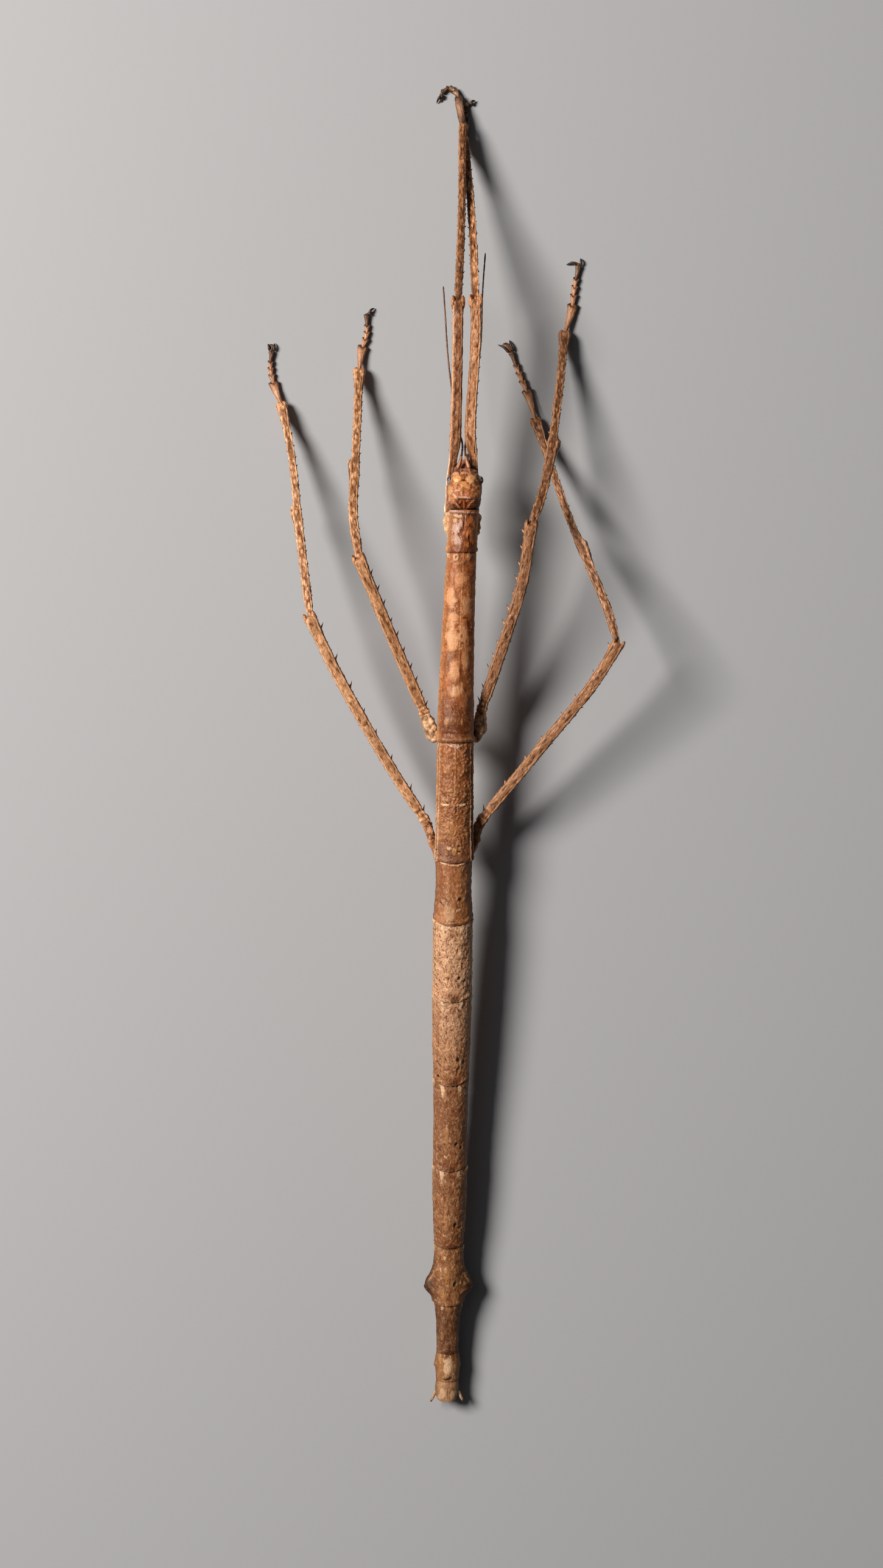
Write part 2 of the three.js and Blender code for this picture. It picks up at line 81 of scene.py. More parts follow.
def flow(places, keys):
    """A smooth line through keys, each a place and a value, with no overshoot."""
    x, y = np.array(keys, float).T
    slope = np.diff(y) / np.diff(x)
    product = slope[1:] * slope[:-1]
    total = slope[1:] + slope[:-1]
    lean = np.concatenate([slope[:1], np.where(product > 0, 2 * product / np.where(total == 0, 1, total), 0), slope[-1:]])
    k = np.clip(np.searchsorted(x, places, side="right") - 1, 0, len(x) - 2)
    h = x[k + 1] - x[k]
    f = np.clip((places - x[k]) / h, 0, 1)
    rising = f * f * (3 - 2 * f)
    return y[k] * (1 - rising) + y[k + 1] * rising + h * (lean[k] * f * (1 - f) ** 2 - lean[k + 1] * f * f * (1 - f))


def hump(distance, width):
    return np.exp(-((distance / width) ** 2))


def spot(along, across, centre, size):
    """A soft-edged oval mark, 1 in the middle."""
    return np.exp(-((((along - centre[0]) / size[0]) ** 2 + ((across - centre[1]) / size[1]) ** 2) ** 1.6))


def stamp(gap, drift, ragged, long, wide, turned):
    """A ragged oval mark with a crisp edge, 1 inside, at the given distances from its middle."""
    lean = math.radians(turned)
    length_way = gap * math.cos(lean) - drift * math.sin(lean)
    width_way = gap * math.sin(lean) + drift * math.cos(lean)
    return np.exp(-((((length_way / long) ** 2 + (width_way / wide) ** 2) * ragged * 0.85) ** 3.6))


def rough(points, size, seed=0.0):
    """Smooth random relief, about -1 to 1, with lumps of the given size."""
    flat = (points / np.array(size) + seed).reshape(-1, 3).tolist()
    return np.array([noise.noise(p) for p in flat]).reshape(points.shape[:-1]) * 1.6


def pebbles(points, size, seed=0.0):
    """Rounded grains, 1 at the middle of each and 0 between them."""
    flat = (points / np.array(size) + seed).reshape(-1, 3).tolist()
    near = np.array([noise.voronoi(p)[0][0] for p in flat]).reshape(points.shape[:-1])
    return np.clip(1 - near * 1.5, 0, 1)


def crowded(length, fine, coarse, reach=1.5):
    """Places from 0 to length, close together near both ends."""
    places = [0.0]
    while places[-1] < length / 2:
        places.append(places[-1] + fine + (coarse - fine) * min(1, places[-1] / reach))
    front = np.array(places) * (length / 2 / places[-1])
    return np.concatenate([front, length - front[-2::-1]])


def sheet(place, marks):
    """A grid laid through rows of points in millimetres: each row becomes one ring round the piece."""
    rows, columns = place.shape[:2]
    bm = bmesh.new()
    bmesh.ops.create_grid(bm, x_segments=rows - 1, y_segments=columns - 1, size=1)
    mesh = bpy.data.meshes.new("sheet")
    bm.to_mesh(mesh)
    bm.free()
    flat = np.empty(len(mesh.vertices) * 3)
    mesh.vertices.foreach_get("co", flat)
    row, column = np.rint((flat.reshape(-1, 3)[:, :2] + 1) / 2 * [rows - 1, columns - 1]).astype(int).T
    mesh.vertices.foreach_set("co", (place[row, column] * MM).ravel())
    kinds = {"lie": ("FLOAT_VECTOR", "vector"), "tint": ("FLOAT_COLOR", "color"), "worn": ("FLOAT", "value")}
    for name, (kind, field) in kinds.items():
        values = marks[name][row, column]
        if kind == "FLOAT_COLOR":
            # dark cuticle is warmer than pale cuticle
            pale = np.clip(values.mean(axis=1, keepdims=True) / 0.42, 0, 1)
            values = values * (pale + (1 - pale) * np.array((1.0, 0.9, 0.68)))
            values = np.concatenate([values, np.ones((len(values), 1))], axis=1)
        mesh.attributes.new(name, kind, "POINT").data.foreach_set(field, values.ravel())
    return mesh


def skin(name, sheets, finish, nodes):
    """Welds the sheets' seams and poles into closed skins and hands the piece to the frame."""
    bm = bmesh.new()
    for part in sheets:
        bm.from_mesh(part)
        bpy.data.meshes.remove(part)
    bmesh.ops.remove_doubles(bm, verts=bm.verts, dist=2e-7)
    bmesh.ops.dissolve_degenerate(bm, edges=bm.edges, dist=1e-8)
    bmesh.ops.recalc_face_normals(bm, faces=bm.faces)
    for face in bm.faces:
        face.smooth = True
    mesh = bpy.data.meshes.new(name)
    bm.to_mesh(mesh)
    bm.free()
    mesh.materials.append(finish)
    piece = bpy.data.objects.new(name, mesh)
    bpy.context.scene.collection.objects.link(piece)
    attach(piece, "root")
    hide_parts(*nodes)
    return piece


def cuticle(name, worms, specks, mottle, gloss, lift, grain=0.85):
    """Insect cuticle: the tint laid on the skin, broken by wormy grooves, dark mottles and pale grains."""
    finish = bpy.data.materials.new(name)
    finish.use_nodes = True
    nodes, links = finish.node_tree.nodes, finish.node_tree.links
    shader = nodes["Principled BSDF"]
    shader.inputs["Specular IOR Level"].default_value = 0.45
    shader.inputs["Specular Tint"].default_value = (1.0, 0.84, 0.7, 1)

    def attribute(label):
        node = nodes.new("ShaderNodeAttribute")
        node.attribute_name = label
        return node

    def texture(kind, scale, stretch, detail=3.0):
        mapping = nodes.new("ShaderNodeMapping")
        mapping.inputs["Scale"].default_value = stretch
        links.new(lie.outputs["Vector"], mapping.inputs["Vector"])
        node = nodes.new(kind)
        node.inputs["Scale"].default_value = scale
        node.inputs["Detail"].default_value = detail
        links.new(mapping.outputs["Vector"], node.inputs["Vector"])
        return node

    def ramp(value, low, high, bottom=0.0, top=1.0):
        node = nodes.new("ShaderNodeMapRange")
        node.inputs["From Min"].default_value = low
        node.inputs["From Max"].default_value = high
        node.inputs["To Min"].default_value = bottom
        node.inputs["To Max"].default_value = top
        links.new(value, node.inputs["Value"])
        return node.outputs["Result"]

    def maths(operation, a, b):
        node = nodes.new("ShaderNodeMath")
        node.operation = operation
        for socket, value in zip(node.inputs, (a, b)):
            if isinstance(value, (int, float)):
                socket.default_value = value
            else:
                links.new(value, socket)
        return node.outputs[0]

    def blend(kind, factor, under, over):
        node = nodes.new("ShaderNodeMix")
        node.data_type = "RGBA"
        node.blend_type = kind
        links.new(factor, node.inputs[0])
        for socket, value in ((node.inputs[6], under), (node.inputs[7], over)):
            if isinstance(value, tuple):
                socket.default_value = (*value, 1)
            else:
                links.new(value, socket)
        return node.outputs[2]

    lie = attribute("lie")
    tint = attribute("tint")
    worn = attribute("worn")
    streaks = texture("ShaderNodeTexNoise", 1.5, (1, 0.8 * grain, 1), 2.0)
    streaks.inputs["Distortion"].default_value = 1.6
    dash = maths("MULTIPLY", ramp(streaks.outputs["Fac"], 0.54, 0.6), worn.outputs["Fac"])
    flecks = texture("ShaderNodeTexNoise", 1.3, (1, grain, 1), 2.0)
    flecks.inputs["Distortion"].default_value = 0.8
    fleck = ramp(flecks.outputs["Fac"], 0.57, 0.66)
    cloud = texture("ShaderNodeTexNoise", 0.5, (1, 0.8 * grain, 1), 4.0)
    dark = ramp(cloud.outputs["Fac"], 0.5, 0.66)
    fine = texture("ShaderNodeTexNoise", 4.2, (1, grain, 1), 3.0)

    colour = blend("MULTIPLY", maths("MULTIPLY", dark, mottle), tint.outputs["Color"], (0.42, 0.27, 0.17))
    colour = blend("SCREEN", maths("MULTIPLY", fleck, specks), colour, (0.3, 0.2, 0.14))
    colour = blend("MULTIPLY", maths("MULTIPLY", dash, worms), colour, (0.3, 0.16, 0.09))
    colour = blend("MULTIPLY", ramp(fine.outputs["Fac"], 0.6, 0.36, 0.0, 0.45), colour, (0.5, 0.36, 0.25))
    links.new(colour, shader.inputs["Base Color"])
    links.new(ramp(fine.outputs["Fac"], 0.3, 0.7, gloss - 0.12, gloss + 0.14), shader.inputs["Roughness"])

    height = maths("SUBTRACT", maths("MULTIPLY", fleck, 0.5), maths("MULTIPLY", dash, 0.7))
    height = maths("ADD", height, maths("MULTIPLY", fine.outputs["Fac"], 0.7))
    bump = nodes.new("ShaderNodeBump")
    bump.inputs["Strength"].default_value = lift
    bump.inputs["Distance"].default_value = 0.00013
    links.new(height, bump.inputs["Height"])
    links.new(bump.outputs["Normal"], shader.inputs["Normal"])
    return finish


# What the rings look like: colour on the back at the front and at the rear, colour of the flanks, and how
# strongly the wormy dashes show. From the seventh ring back the tints are partly painted shade, and the flanks of
# the seventh, eighth and last rings are darkened as painted shade.
RING_TINTS = [
    ((168, 102, 66), (134, 70, 38), (204, 150, 112), 0.3),
    ((170, 100, 58), (116, 60, 32), (194, 136, 92), 0.15),
    ((154, 90, 52), (142, 84, 46), (172, 116, 72), 0.35),
    ((150, 90, 52), (134, 82, 54), (142, 92, 58), 0.4),
    ((158, 102, 70), (164, 108, 70), (116, 72, 48), 0.3),
    ((226, 180, 148), (220, 170, 138), (206, 160, 122), 1.0),
    ((212, 169, 141), (168, 117, 84), (176, 128, 96), 0.95),
    ((146, 101, 76), (144, 97, 68), (138, 99, 74), 0.6),
    ((146, 101, 75), (144, 99, 69), (129, 92, 67), 0.6),
    ((155, 109, 75), (138, 92, 63), (81, 53, 37), 0.55),
    ((112, 76, 57), (99, 66, 49), (67, 46, 35), 0.6),
    ((143, 101, 69), (162, 118, 85), (129, 92, 67), 0.25),
    ((166, 126, 98), (180, 142, 114), (120, 85, 63), 0.2),
]
SHADES = {
    "pale": dye(238, 200, 168), "fawn": dye(230, 168, 126), "pink": dye(204, 166, 160), "tan": dye(206, 154, 112), "ochre": dye(206, 150, 92),
    "orange": dye(206, 122, 60), "brown": dye(122, 66, 30), "red": dye(98, 46, 20), "plum": dye(116, 76, 68),
    "dark": dye(62, 30, 15), "black": dye(28, 16, 10),
}
# Plates, scars and spots on the back; the pink patches on the prothorax are painted highlights, a reflection on
# its gloss. Each: ring, distance behind the ring's front, distance left of the middle, half length, half width,
# turn in degrees, height, shade and strength.
MARKS = [
    (0, 8.7, -1.7, 1.2, 0.9, 0, 0, "orange", 0.2), (1, 18.7, -2.3, 3.5, 0.7, 0, 0, "orange", 0.35),
    # the dark strip down the right side of the mesothorax, first in this row, is painted shade
    (1, 18.7, -3.9, 3.5, 0.6, 0, 0, "dark", 0.4), (1, 7.0, 0.4, 1.8, 1.0, 0, 0, "orange", 0.4),
    (6, 9.2, 3.9, 7.0, 0.7, 0, 0, "brown", 0.4), (7, 8.8, 3.6, 7.0, 0.7, 0, 0, "brown", 0.3),
    # the pink patches of ring 0 in these rows are painted highlights
    (0, 1.7, 1.6, 0.45, 1.3, -14, 0.2, "pale", 0.8), (0, 3.6, 0.7, 1.2, 0.45, 0, 0.1, "pink", 0.95),
    (0, 5.1, 1.9, 1.3, 1.3, 20, 0.14, "pink", 1.0), (0, 2.9, 2.2, 0.6, 0.6, 0, 0.15, "pale", 0.7),
    (0, 5.6, 0.3, 0.5, 0.5, 0, -0.05, "red", 0.8), (0, 3.0, -1.9, 0.9, 0.9, 0, 0.05, "orange", 0.3),
    (0, 6.9, 0.9, 1.0, 0.14, 29, -0.2, "dark", 0.9), (0, 8.3, 1.5, 1.6, 1.0, 14, 0.1, "pink", 0.9),
    (0, 8.2, 2.8, 1.4, 0.6, 0, 0.06, "tan", 0.6), (0, 6.2, -0.5, 0.5, 0.3, 0, 0.1, "orange", 0.7),
    (0, 6.6, -1.4, 0.8, 0.35, 0, 0.12, "orange", 0.6), (0, 6.4, -2.5, 0.9, 0.4, 0, 0.12, "orange", 0.7),
    (0, 9.4, -1.7, 0.6, 0.65, 0, 0.14, "orange", 0.7), (0, 8.0, -1.9, 1.4, 0.2, 12, -0.16, "red", 0.85),
    (0, 3.2, -0.25, 1.9, 0.22, 0, -0.16, "red", 0.8), (0, 4.6, -2.4, 0.6, 0.5, 0, -0.1, "red", 0.6),
    (0, 4.0, -1.2, 0.6, 0.5, 0, 0.1, "orange", 0.35), (0, 10.6, 0.0, 0.7, 3.8, 0, 0.08, "brown", 0.5),
    (1, 7.0, 0.0, 1.8, 1.5, 0, 0.02, "fawn", 0.6), (1, 12.0, 2.4, 2.7, 1.6, 8, 0.03, "fawn", 0.85),
    (1, 14.3, -2.1, 2.4, 1.5, 0, 0.04, "fawn", 0.8), (1, 18.0, 1.8, 2.0, 1.6, -10, 0.03, "fawn", 0.85),
    (1, 23.7, 1.6, 3.3, 1.8, 0, 0.04, "fawn", 1.0), (1, 22.2, -1.4, 2.8, 1.1, 6, 0.03, "fawn", 0.8),
    (1, 32.0, 0.8, 2.6, 1.25, 0, 0.04, "fawn", 0.9), (1, 29.0, -2.3, 2.5, 1.3, 0, 0.03, "fawn", 0.6),
    (1, 37.6, 0.1, 1.5, 1.4, 0, 0.05, "fawn", 0.7), (1, 30.6, 2.9, 1.6, 0.9, 0, 0.0, "brown", 0.4),
    (1, 27.7, 1.9, 1.2, 1.9, 0, 0.0, "brown", 0.5), (1, 15.2, 3.4, 0.9, 0.8, 0, 0.0, "brown", 0.4),
    (1, 0.5, 3.7, 0.9, 0.6, 0, 0.35, "pale", 0.85), (1, 1.3, 1.5, 1.1, 0.9, 0, 0.26, "pale", 0.55),
    (1, 1.2, 1.35, 0.35, 0.28, 0, -0.14, "brown", 0.6), (1, 1.0, -2.1, 0.9, 0.7, 0, 0.2, "tan", 0.4),
    (1, 2.7, -1.1, 0.6, 0.4, 0, 0, "red", 0.6), (1, 4.0, 0.5, 0.8, 0.8, 0, 0, "brown", 0.35),
    (1, 9.7, -1.0, 0.4, 0.4, 0, -0.05, "brown", 0.6), (1, 11.3, 1.0, 1.0, 0.35, 0, -0.05, "brown", 0.6),
    (1, 13.8, 0.4, 0.3, 0.9, 22, -0.05, "brown", 0.55), (1, 16.2, -0.1, 0.5, 0.4, 0, -0.05, "brown", 0.6),
    (1, 17.7, -1.8, 0.35, 0.8, 0, -0.05, "red", 0.75), (1, 19.6, -2.8, 1.1, 0.5, 15, -0.05, "red", 0.75),
    (1, 15.8, 2.9, 0.8, 0.45, 0, 0, "brown", 0.4), (1, 19.5, 2.5, 1.4, 0.45, 0, 0, "brown", 0.35),
    (1, 18.8, 0.8, 0.2, 0.7, 0, -0.04, "brown", 0.5), (1, 21.3, -0.1, 0.3, 0.6, -35, -0.05, "brown", 0.7),
    (1, 22.7, -1.1, 0.55, 0.3, 0, -0.05, "brown", 0.7), (1, 24.5, -1.4, 0.3, 0.45, 0, -0.05, "brown", 0.7),
    (1, 26.7, 0.2, 0.35, 0.7, 0, -0.04, "brown", 0.5), (1, 29.0, 1.6, 0.7, 0.6, 0, 0, "brown", 0.45),
    (1, 31.7, -1.2, 1.7, 0.35, 0, -0.06, "red", 0.8), (1, 35.0, -0.5, 1.0, 0.6, 0, 0, "brown", 0.5),
    (1, 37.6, 0.5, 1.3, 0.45, 0, 0.08, "pale", 0.5), (1, 37.0, -1.5, 1.4, 0.3, 0, 0.06, "pale", 0.35),
    (1, 42.0, 1.0, 1.1, 0.16, 30, -0.1, "dark", 0.6), (1, 45.8, 2.6, 0.9, 0.7, 0, 0.12, "tan", 0.6),
    (1, 46.0, -1.7, 0.7, 0.35, 0, 0.1, "tan", 0.6), (1, 47.6, 0.2, 0.9, 1.9, 0, -0.06, "red", 0.6),
    (2, 0.85, 1.2, 0.18, 1.4, -24, 0.12, "pale", 0.85), (2, 0.75, 0.1, 0.45, 1.0, 0, 0.15, "pink", 0.8),
    (2, 0.95, -1.4, 0.2, 0.9, 24, 0.12, "pale", 0.6), (2, 7.7, 2.0, 1.1, 1.2, 0, 0.16, "tan", 0.35),
    (2, 7.7, -1.7, 1.1, 0.9, 0, 0.16, "tan", 0.3), (2, 13.2, 1.6, 0.25, 1.2, 0, 0.1, "tan", 0.5),
    (2, 14.3, 3.0, 0.22, 1.0, -35, -0.16, "dark", 0.8), (2, 15.8, 3.0, 0.5, 1.2, -28, 0.16, "tan", 0.6),
    (2, 16.3, 2.2, 0.14, 0.8, -35, -0.18, "black", 0.85), (2, 15.9, -2.3, 0.45, 0.9, 28, 0.14, "plum", 0.6),
    (2, 16.3, -1.7, 0.14, 0.7, 35, -0.18, "black", 0.85), (2, 17.05, 2.8, 0.36, 1.3, 0, 0.2, "pale", 0.95),
    (2, 17.05, -2.1, 0.36, 0.9, 0, 0.2, "pale", 0.85), (2, 16.2, 4.85, 0.45, 0.4, 0, -0.35, "black", 0.95),
    (3, 0.6, -0.5, 1.0, 0.2, 0, -0.22, "dark", 0.9), (3, 11.4, 1.35, 0.6, 0.65, 0, 0.22, "pale", 0.85),
    (3, 10.85, 1.1, 0.15, 0.6, 25, -0.25, "black", 0.8), (3, 11.4, -1.65, 0.5, 0.5, 0, 0.14, "tan", 0.7),
    (3, 10.9, -1.55, 0.17, 0.6, 0, -0.25, "black", 0.9), (3, 12.8, -1.5, 0.4, 0.45, 0, 0.14, "tan", 0.6),
    (3, 12.35, -1.5, 0.16, 0.5, 0, -0.22, "black", 0.9), (3, 12.5, -0.1, 1.0, 0.6, 0, 0.1, "ochre", 0.6),
    (3, 12.3, 3.6, 1.6, 1.5, 0, 0, "plum", 0.65), (3, 13.3, 1.6, 0.8, 1.6, 0, 0, "plum", 0.45),
    (3, 6.0, 1.0, 1.6, 2.2, 0, 0.05, "ochre", 0.3), (3, 14.7, 0.0, 0.8, 4.6, 0, 0.06, "plum", 0.5),
    (4, 0.4, 2.8, 0.3, 1.4, -8, 0.2, "pale", 0.95), (4, 0.75, 0.2, 0.22, 1.6, 0, 0.14, "pale", 0.6),
    (4, 0.45, -2.5, 0.35, 0.8, 10, 0.18, "pale", 0.7), (4, 6.6, 3.4, 4.6, 0.9, 0, 0, "brown", 0.6),
    (4, 10.2, -1.9, 0.5, 0.5, 0, -0.3, "black", 0.85), (4, 10.2, 1.3, 0.4, 0.55, 0, 0.14, "tan", 0.6),
    (4, 10.5, 2.0, 0.14, 0.6, -30, -0.14, "dark", 0.6), (4, 13.15, -1.5, 0.38, 0.75, 0, 0.18, "pale", 0.6),
    (4, 12.6, -1.5, 0.15, 0.8, 0, -0.2, "dark", 0.85), (4, 13.3, -0.7, 0.4, 0.14, 0, -0.15, "dark", 0.7),
    (4, 11.9, 3.2, 0.2, 0.8, -30, -0.2, "dark", 0.7), (4, 13.1, 0.6, 0.6, 0.13, 30, -0.14, "dark", 0.75),
    (4, 14.2, 1.2, 1.9, 1.6, 0, 0.05, "pale", 0.4), (4, 16.2, -0.2, 0.16, 1.0, 0, -0.14, "black", 0.85),
    (4, 16.95, -0.4, 0.38, 1.0, 0, 0.1, "dark", 0.8), (4, 15.4, 2.8, 0.9, 1.0, 0, 0, "orange", 0.35),
    (8, 2.8, 1.2, 0.5, 0.4, 0, 0.06, "pale", 0.5), (8, 8.5, 2.0, 1.2, 0.4, 0, 0.05, "tan", 0.5),
    (9, 2.7, 1.1, 0.5, 0.35, 0, 0.1, "pale", 0.85), (9, 6.2, 2.2, 0.7, 0.32, 12, 0.1, "pale", 0.75),
    (9, 6.0, 0.9, 0.6, 0.35, 0, 0.08, "pale", 0.5), (9, 9.1, 0.9, 0.4, 0.22, 0, -0.15, "black", 0.8),
    (9, 10.1, -1.7, 0.45, 0.42, 0, -0.2, "black", 0.8), (9, 10.4, 2.1, 0.25, 0.7, 0, -0.08, "dark", 0.55),
    (9, 8.0, 0.6, 2.6, 0.8, 0, 0.05, "ochre", 0.35), (9, 13.0, 1.2, 2.0, 0.6, 8, 0.05, "ochre", 0.4),
    (10, 0.4, 1.6, 0.7, 0.35, 0, 0.1, "pale", 0.75), (10, 0.5, -1.9, 0.7, 0.3, 0, 0.1, "tan", 0.7),
    (10, 0.6, 0.0, 0.7, 0.7, 0, 0.05, "tan", 0.4), (10, 13.2, -0.6, 0.7, 0.9, 0, 0, "dark", 0.6),
    (10, 9.0, 1.6, 1.2, 0.4, 0, 0.06, "tan", 0.4), (11, 0.3, -0.3, 0.6, 1.1, 0, 0, "dark", 0.6),
    (11, 3.5, -0.2, 2.5, 1.15, 0, 0.1, "pale", 0.85), (11, 1.6, 2.0, 1.6, 0.5, 0, 0.05, "ochre", 0.6),
    (11, 7.0, -0.1, 0.32, 0.85, 12, -0.12, "black", 0.9), (11, 6.6, -0.8, 0.4, 0.4, 0, -0.08, "dark", 0.8), (12, 3.6, 1.3, 1.4, 1.1, 0, 0.08, "pale", 0.6),
    (12, 3.8, -1.7, 1.1, 0.8, 0, 0.08, "pale", 0.5), (12, 3.0, -0.3, 1.6, 0.12, 0, -0.1, "brown", 0.35),
]


def trunk_axis(y):
    x = -3.3 + 0.0125 * y - 0.0004 * np.minimum(y, 0) ** 2
    return np.stack([x, y, 17.04 - 0.0714 * y], axis=-1)


def trunk_sheet(first, last, columns, seed):
    """The skin over the rings from first to last, with a blind collar tucked in ahead of the first one."""
    collar = np.linspace(-1.7, -0.05, 8)
    rows, ring_of_row = [STARTS[first] + collar], [np.full(8, first)]
    for ring in range(first, last + 1):
        places = crowded(LENGTHS[ring], 0.07, 0.2 if last < 4 else 0.26)
        rows.append(STARTS[ring] + places)
        ring_of_row.append(np.full(len(places), ring))
    rows.append(np.full(3, STARTS[last] + LENGTHS[last]))
    ring_of_row.append(np.full(3, last))
    reach = np.concatenate(rows)[:, None]
    ring = np.concatenate(ring_of_row)[:, None]
    turn = np.linspace(0, 1, columns + 1)[None, :]
    angle = 2 * np.pi * (turn - 0.25) + 0.3 * np.sin(2 * np.pi * turn)
    reach, ring, angle = np.broadcast_arrays(reach, ring, angle)
    side, top = np.cos(angle), np.sin(angle)

    along = reach - STARTS[ring]
    to_rear = LENGTHS[ring] - along
    t = np.clip(along / LENGTHS[ring], 0, 1)
    front, middle, rear = (HALVES[ring, i] for i in range(3))
    half = front * (1 - t) * (1 - 2 * t) + 4 * middle * t * (1 - t) + rear * t * (2 * t - 1) - SKIN_INSET
    share = np.clip((reach - NECK_Y) / (TAIL_Y - NECK_Y), 0, 1)
    roof = half * (ROOF[0] + (ROOF[1] - ROOF[0]) * share)
    belly = half * (BELLY[0] + (BELLY[1] - BELLY[0]) * share)

    bow_front = np.where(ring > 0, BOWS[ring - 1], 0)
    bow = (bow_front * (1 - t) + BOWS[ring] * t) * (1 - np.clip(top, 0, 1) ** 1.3)
    tail = np.where(ring == 12, np.clip((t - 0.4) / 0.6, 0, 1) ** 2, 0)
    bow = bow + tail * (1.1 * np.abs(side) ** 5 + 0.35 * hump(side, 0.12) * (top > 0))
    across = (np.pi / 2 - angle) * half
    flat = np.stack([side * half, reach, top * roof], axis=-1)
    on_back = np.clip(top * 1.6, 0, 1)
    edge = np.abs(angle - np.pi / 2)
    pro, meso, meta, median = (ring == i for i in range(4))
    strength = np.array([tint[3] for tint in RING_TINTS])[ring]

    # the flank colour is partly the flanks' own colour and partly painted shade
    front_tint, rear_tint, flank_tint_and_shade = (
        np.array([dye(*tint[i]) for tint in RING_TINTS])[ring] for i in range(3)
    )
    fade = np.where(meso, np.clip((t - 0.7) / 0.14, 0, 1), t)[..., None]
    tint = front_tint * (1 - fade) + rear_tint * fade
    flank = np.clip((edge - 0.8) / 0.5, 0, 1)[..., None]
    tint = tint * (1 - flank) + flank_tint_and_shade * flank
    tint = tint * (1 + 0.18 * rough(flat, (3.0, 4.5, 3.0), seed + 5))[..., None]

    def paint(mask, colour, amount=1.0):
        nonlocal tint
        mask = np.clip(mask * amount, 0, 1)[..., None]
        tint = tint * (1 - mask) + colour * mask

    # rims and tucks where one ring slides under another
    tuck = np.where(median, 0.0, np.where(ring < 4, 0.2, np.where(ring < 10, 0.24, 0.1)))
    relief = -tuck * np.exp(-np.clip(along, 0, None) / 0.7)
    rim = np.where(meta, 0.0, np.where(ring < 10, 1.0, 0.4))
    relief = relief + rim * (0.12 * hump(to_rear - 0.5, 0.5) - 0.06 * hump(to_rear - 1.5, 0.5))
    uneven = rough(flat, (1.4, 3.0, 1.4), seed + 11)
    rim_line = 0.6 - np.where(across > 0, 0.13, 0.06) * np.clip(across, -3, 3) + 0.1 * uneven
    rim_half = 0.34 + 0.04 * np.clip(across, -3, 3)
    collar_rim = np.where(pro, hump(along - rim_line, rim_half), 0) * (1 - 0.8 * hump(across + 0.75, 0.13))
    relief = relief + 0.26 * collar_rim - np.where(pro, 0.16 * hump(along - rim_line - 0.75, 0.26), 0)
    relief = relief + np.where(meso, 0.26 * hump(to_rear - 0.9, 0.7) - 0.2 * hump(to_rear - 2.3, 0.5), 0)
    paint(np.where(meso, np.clip((to_rear - 2.0) * 0.8, 0, 1) * (t > 0.86), 0), SHADES["red"], 0.3)
    paint(np.where(meso, hump(to_rear - 0.85, 0.6) * (edge < 1.2), 0), SHADES["tan"], 0.4)

    # wrinkles, dashes and grains
    lumps = rough(flat, (1.7, 2.2, 1.7), seed + 9)
    wrinkle = rough(flat, (0.6, 0.95, 0.6), seed)
    ragged = 1 + 0.45 * rough(flat, (0.4, 0.4, 0.4), seed + 13) + 0.5 * rough(flat, (1.3, 1.3, 1.3), seed + 15)
    warp = 0.45 * np.stack([wrinkle, lumps, wrinkle], axis=-1)
    dashes = np.clip(rough(flat + warp, (0.48, 0.8, 0.48), seed + 21) * 3.2 - 0.8, 0, 1) * strength * (t > 0.02)
    flakes = np.clip(rough(flat - warp, (0.6, 0.8, 0.6), seed + 23) * 2.6 - 0.8, 0, 1)
    flakes = flakes * np.where(meta | median, 0.4, 1.0)
    relief = relief + 0.07 * wrinkle * (0.35 + 0.65 * strength) + np.where(pro, 0.2, 0.1) * lumps
    relief = relief - 0.1 * dashes + 0.09 * flakes * np.where(meso | (ring > 9), 0.35, 1.0)
    bead = np.clip(pebbles(flat, (0.95, 0.95, 0.95), seed + 4) * 1.6 - 0.35, 0, 1)
    margin = hump(edge - 1.15, 0.3)
    relief = relief + bead * np.where(meso, 0.16 * margin, np.where(meta, 0.17, np.where(median, 0.1, 0.02)))
    ribs = np.sin(reach * 6.0 + 6.0 * rough(flat, (1.5, 1.2, 1.5), seed + 2) + 0.8 * np.abs(across))
    ribbed = np.where(meta, 0.8 * np.clip((t - 0.6) * 5, 0, 1), np.where(median, np.clip((0.72 - t) * 8, 0, 1), 0))
    ribbed = ribbed * on_back
    relief = relief + 0.07 * ribs * ribbed
    paint(np.clip(ribs, 0, 1) * ribbed, SHADES["tan"], 0.4)
    paint(np.clip(-ribs, 0, 1) * ribbed, SHADES["red"], 0.45)
    paint(np.clip(lumps, 0, 1), SHADES["tan"], 0.22)
    paint(np.clip(-lumps, 0, 1), SHADES["brown"], 0.3)
    mottled = np.clip(rough(flat + warp, (1.1, 1.4, 1.1), seed + 7) * 3.4 - 0.9, 0, 1)
    paint(np.where(meso, mottled, 0), SHADES["brown"], 0.62)
    paint(np.where((ring > 6) & (ring < 11), mottled, 0), SHADES["brown"], 0.35)
    paint(np.where(meta, bead, np.where(meso, bead * margin, np.where(median, 0.6 * bead, 0))), SHADES["fawn"], 0.5)
    paint(dashes, SHADES["brown"], 0.75)
    paint(flakes * (ring != 0), SHADES["pale"], np.where(meso, 0.12, np.where(ring > 9, 0.14, 0.3)))

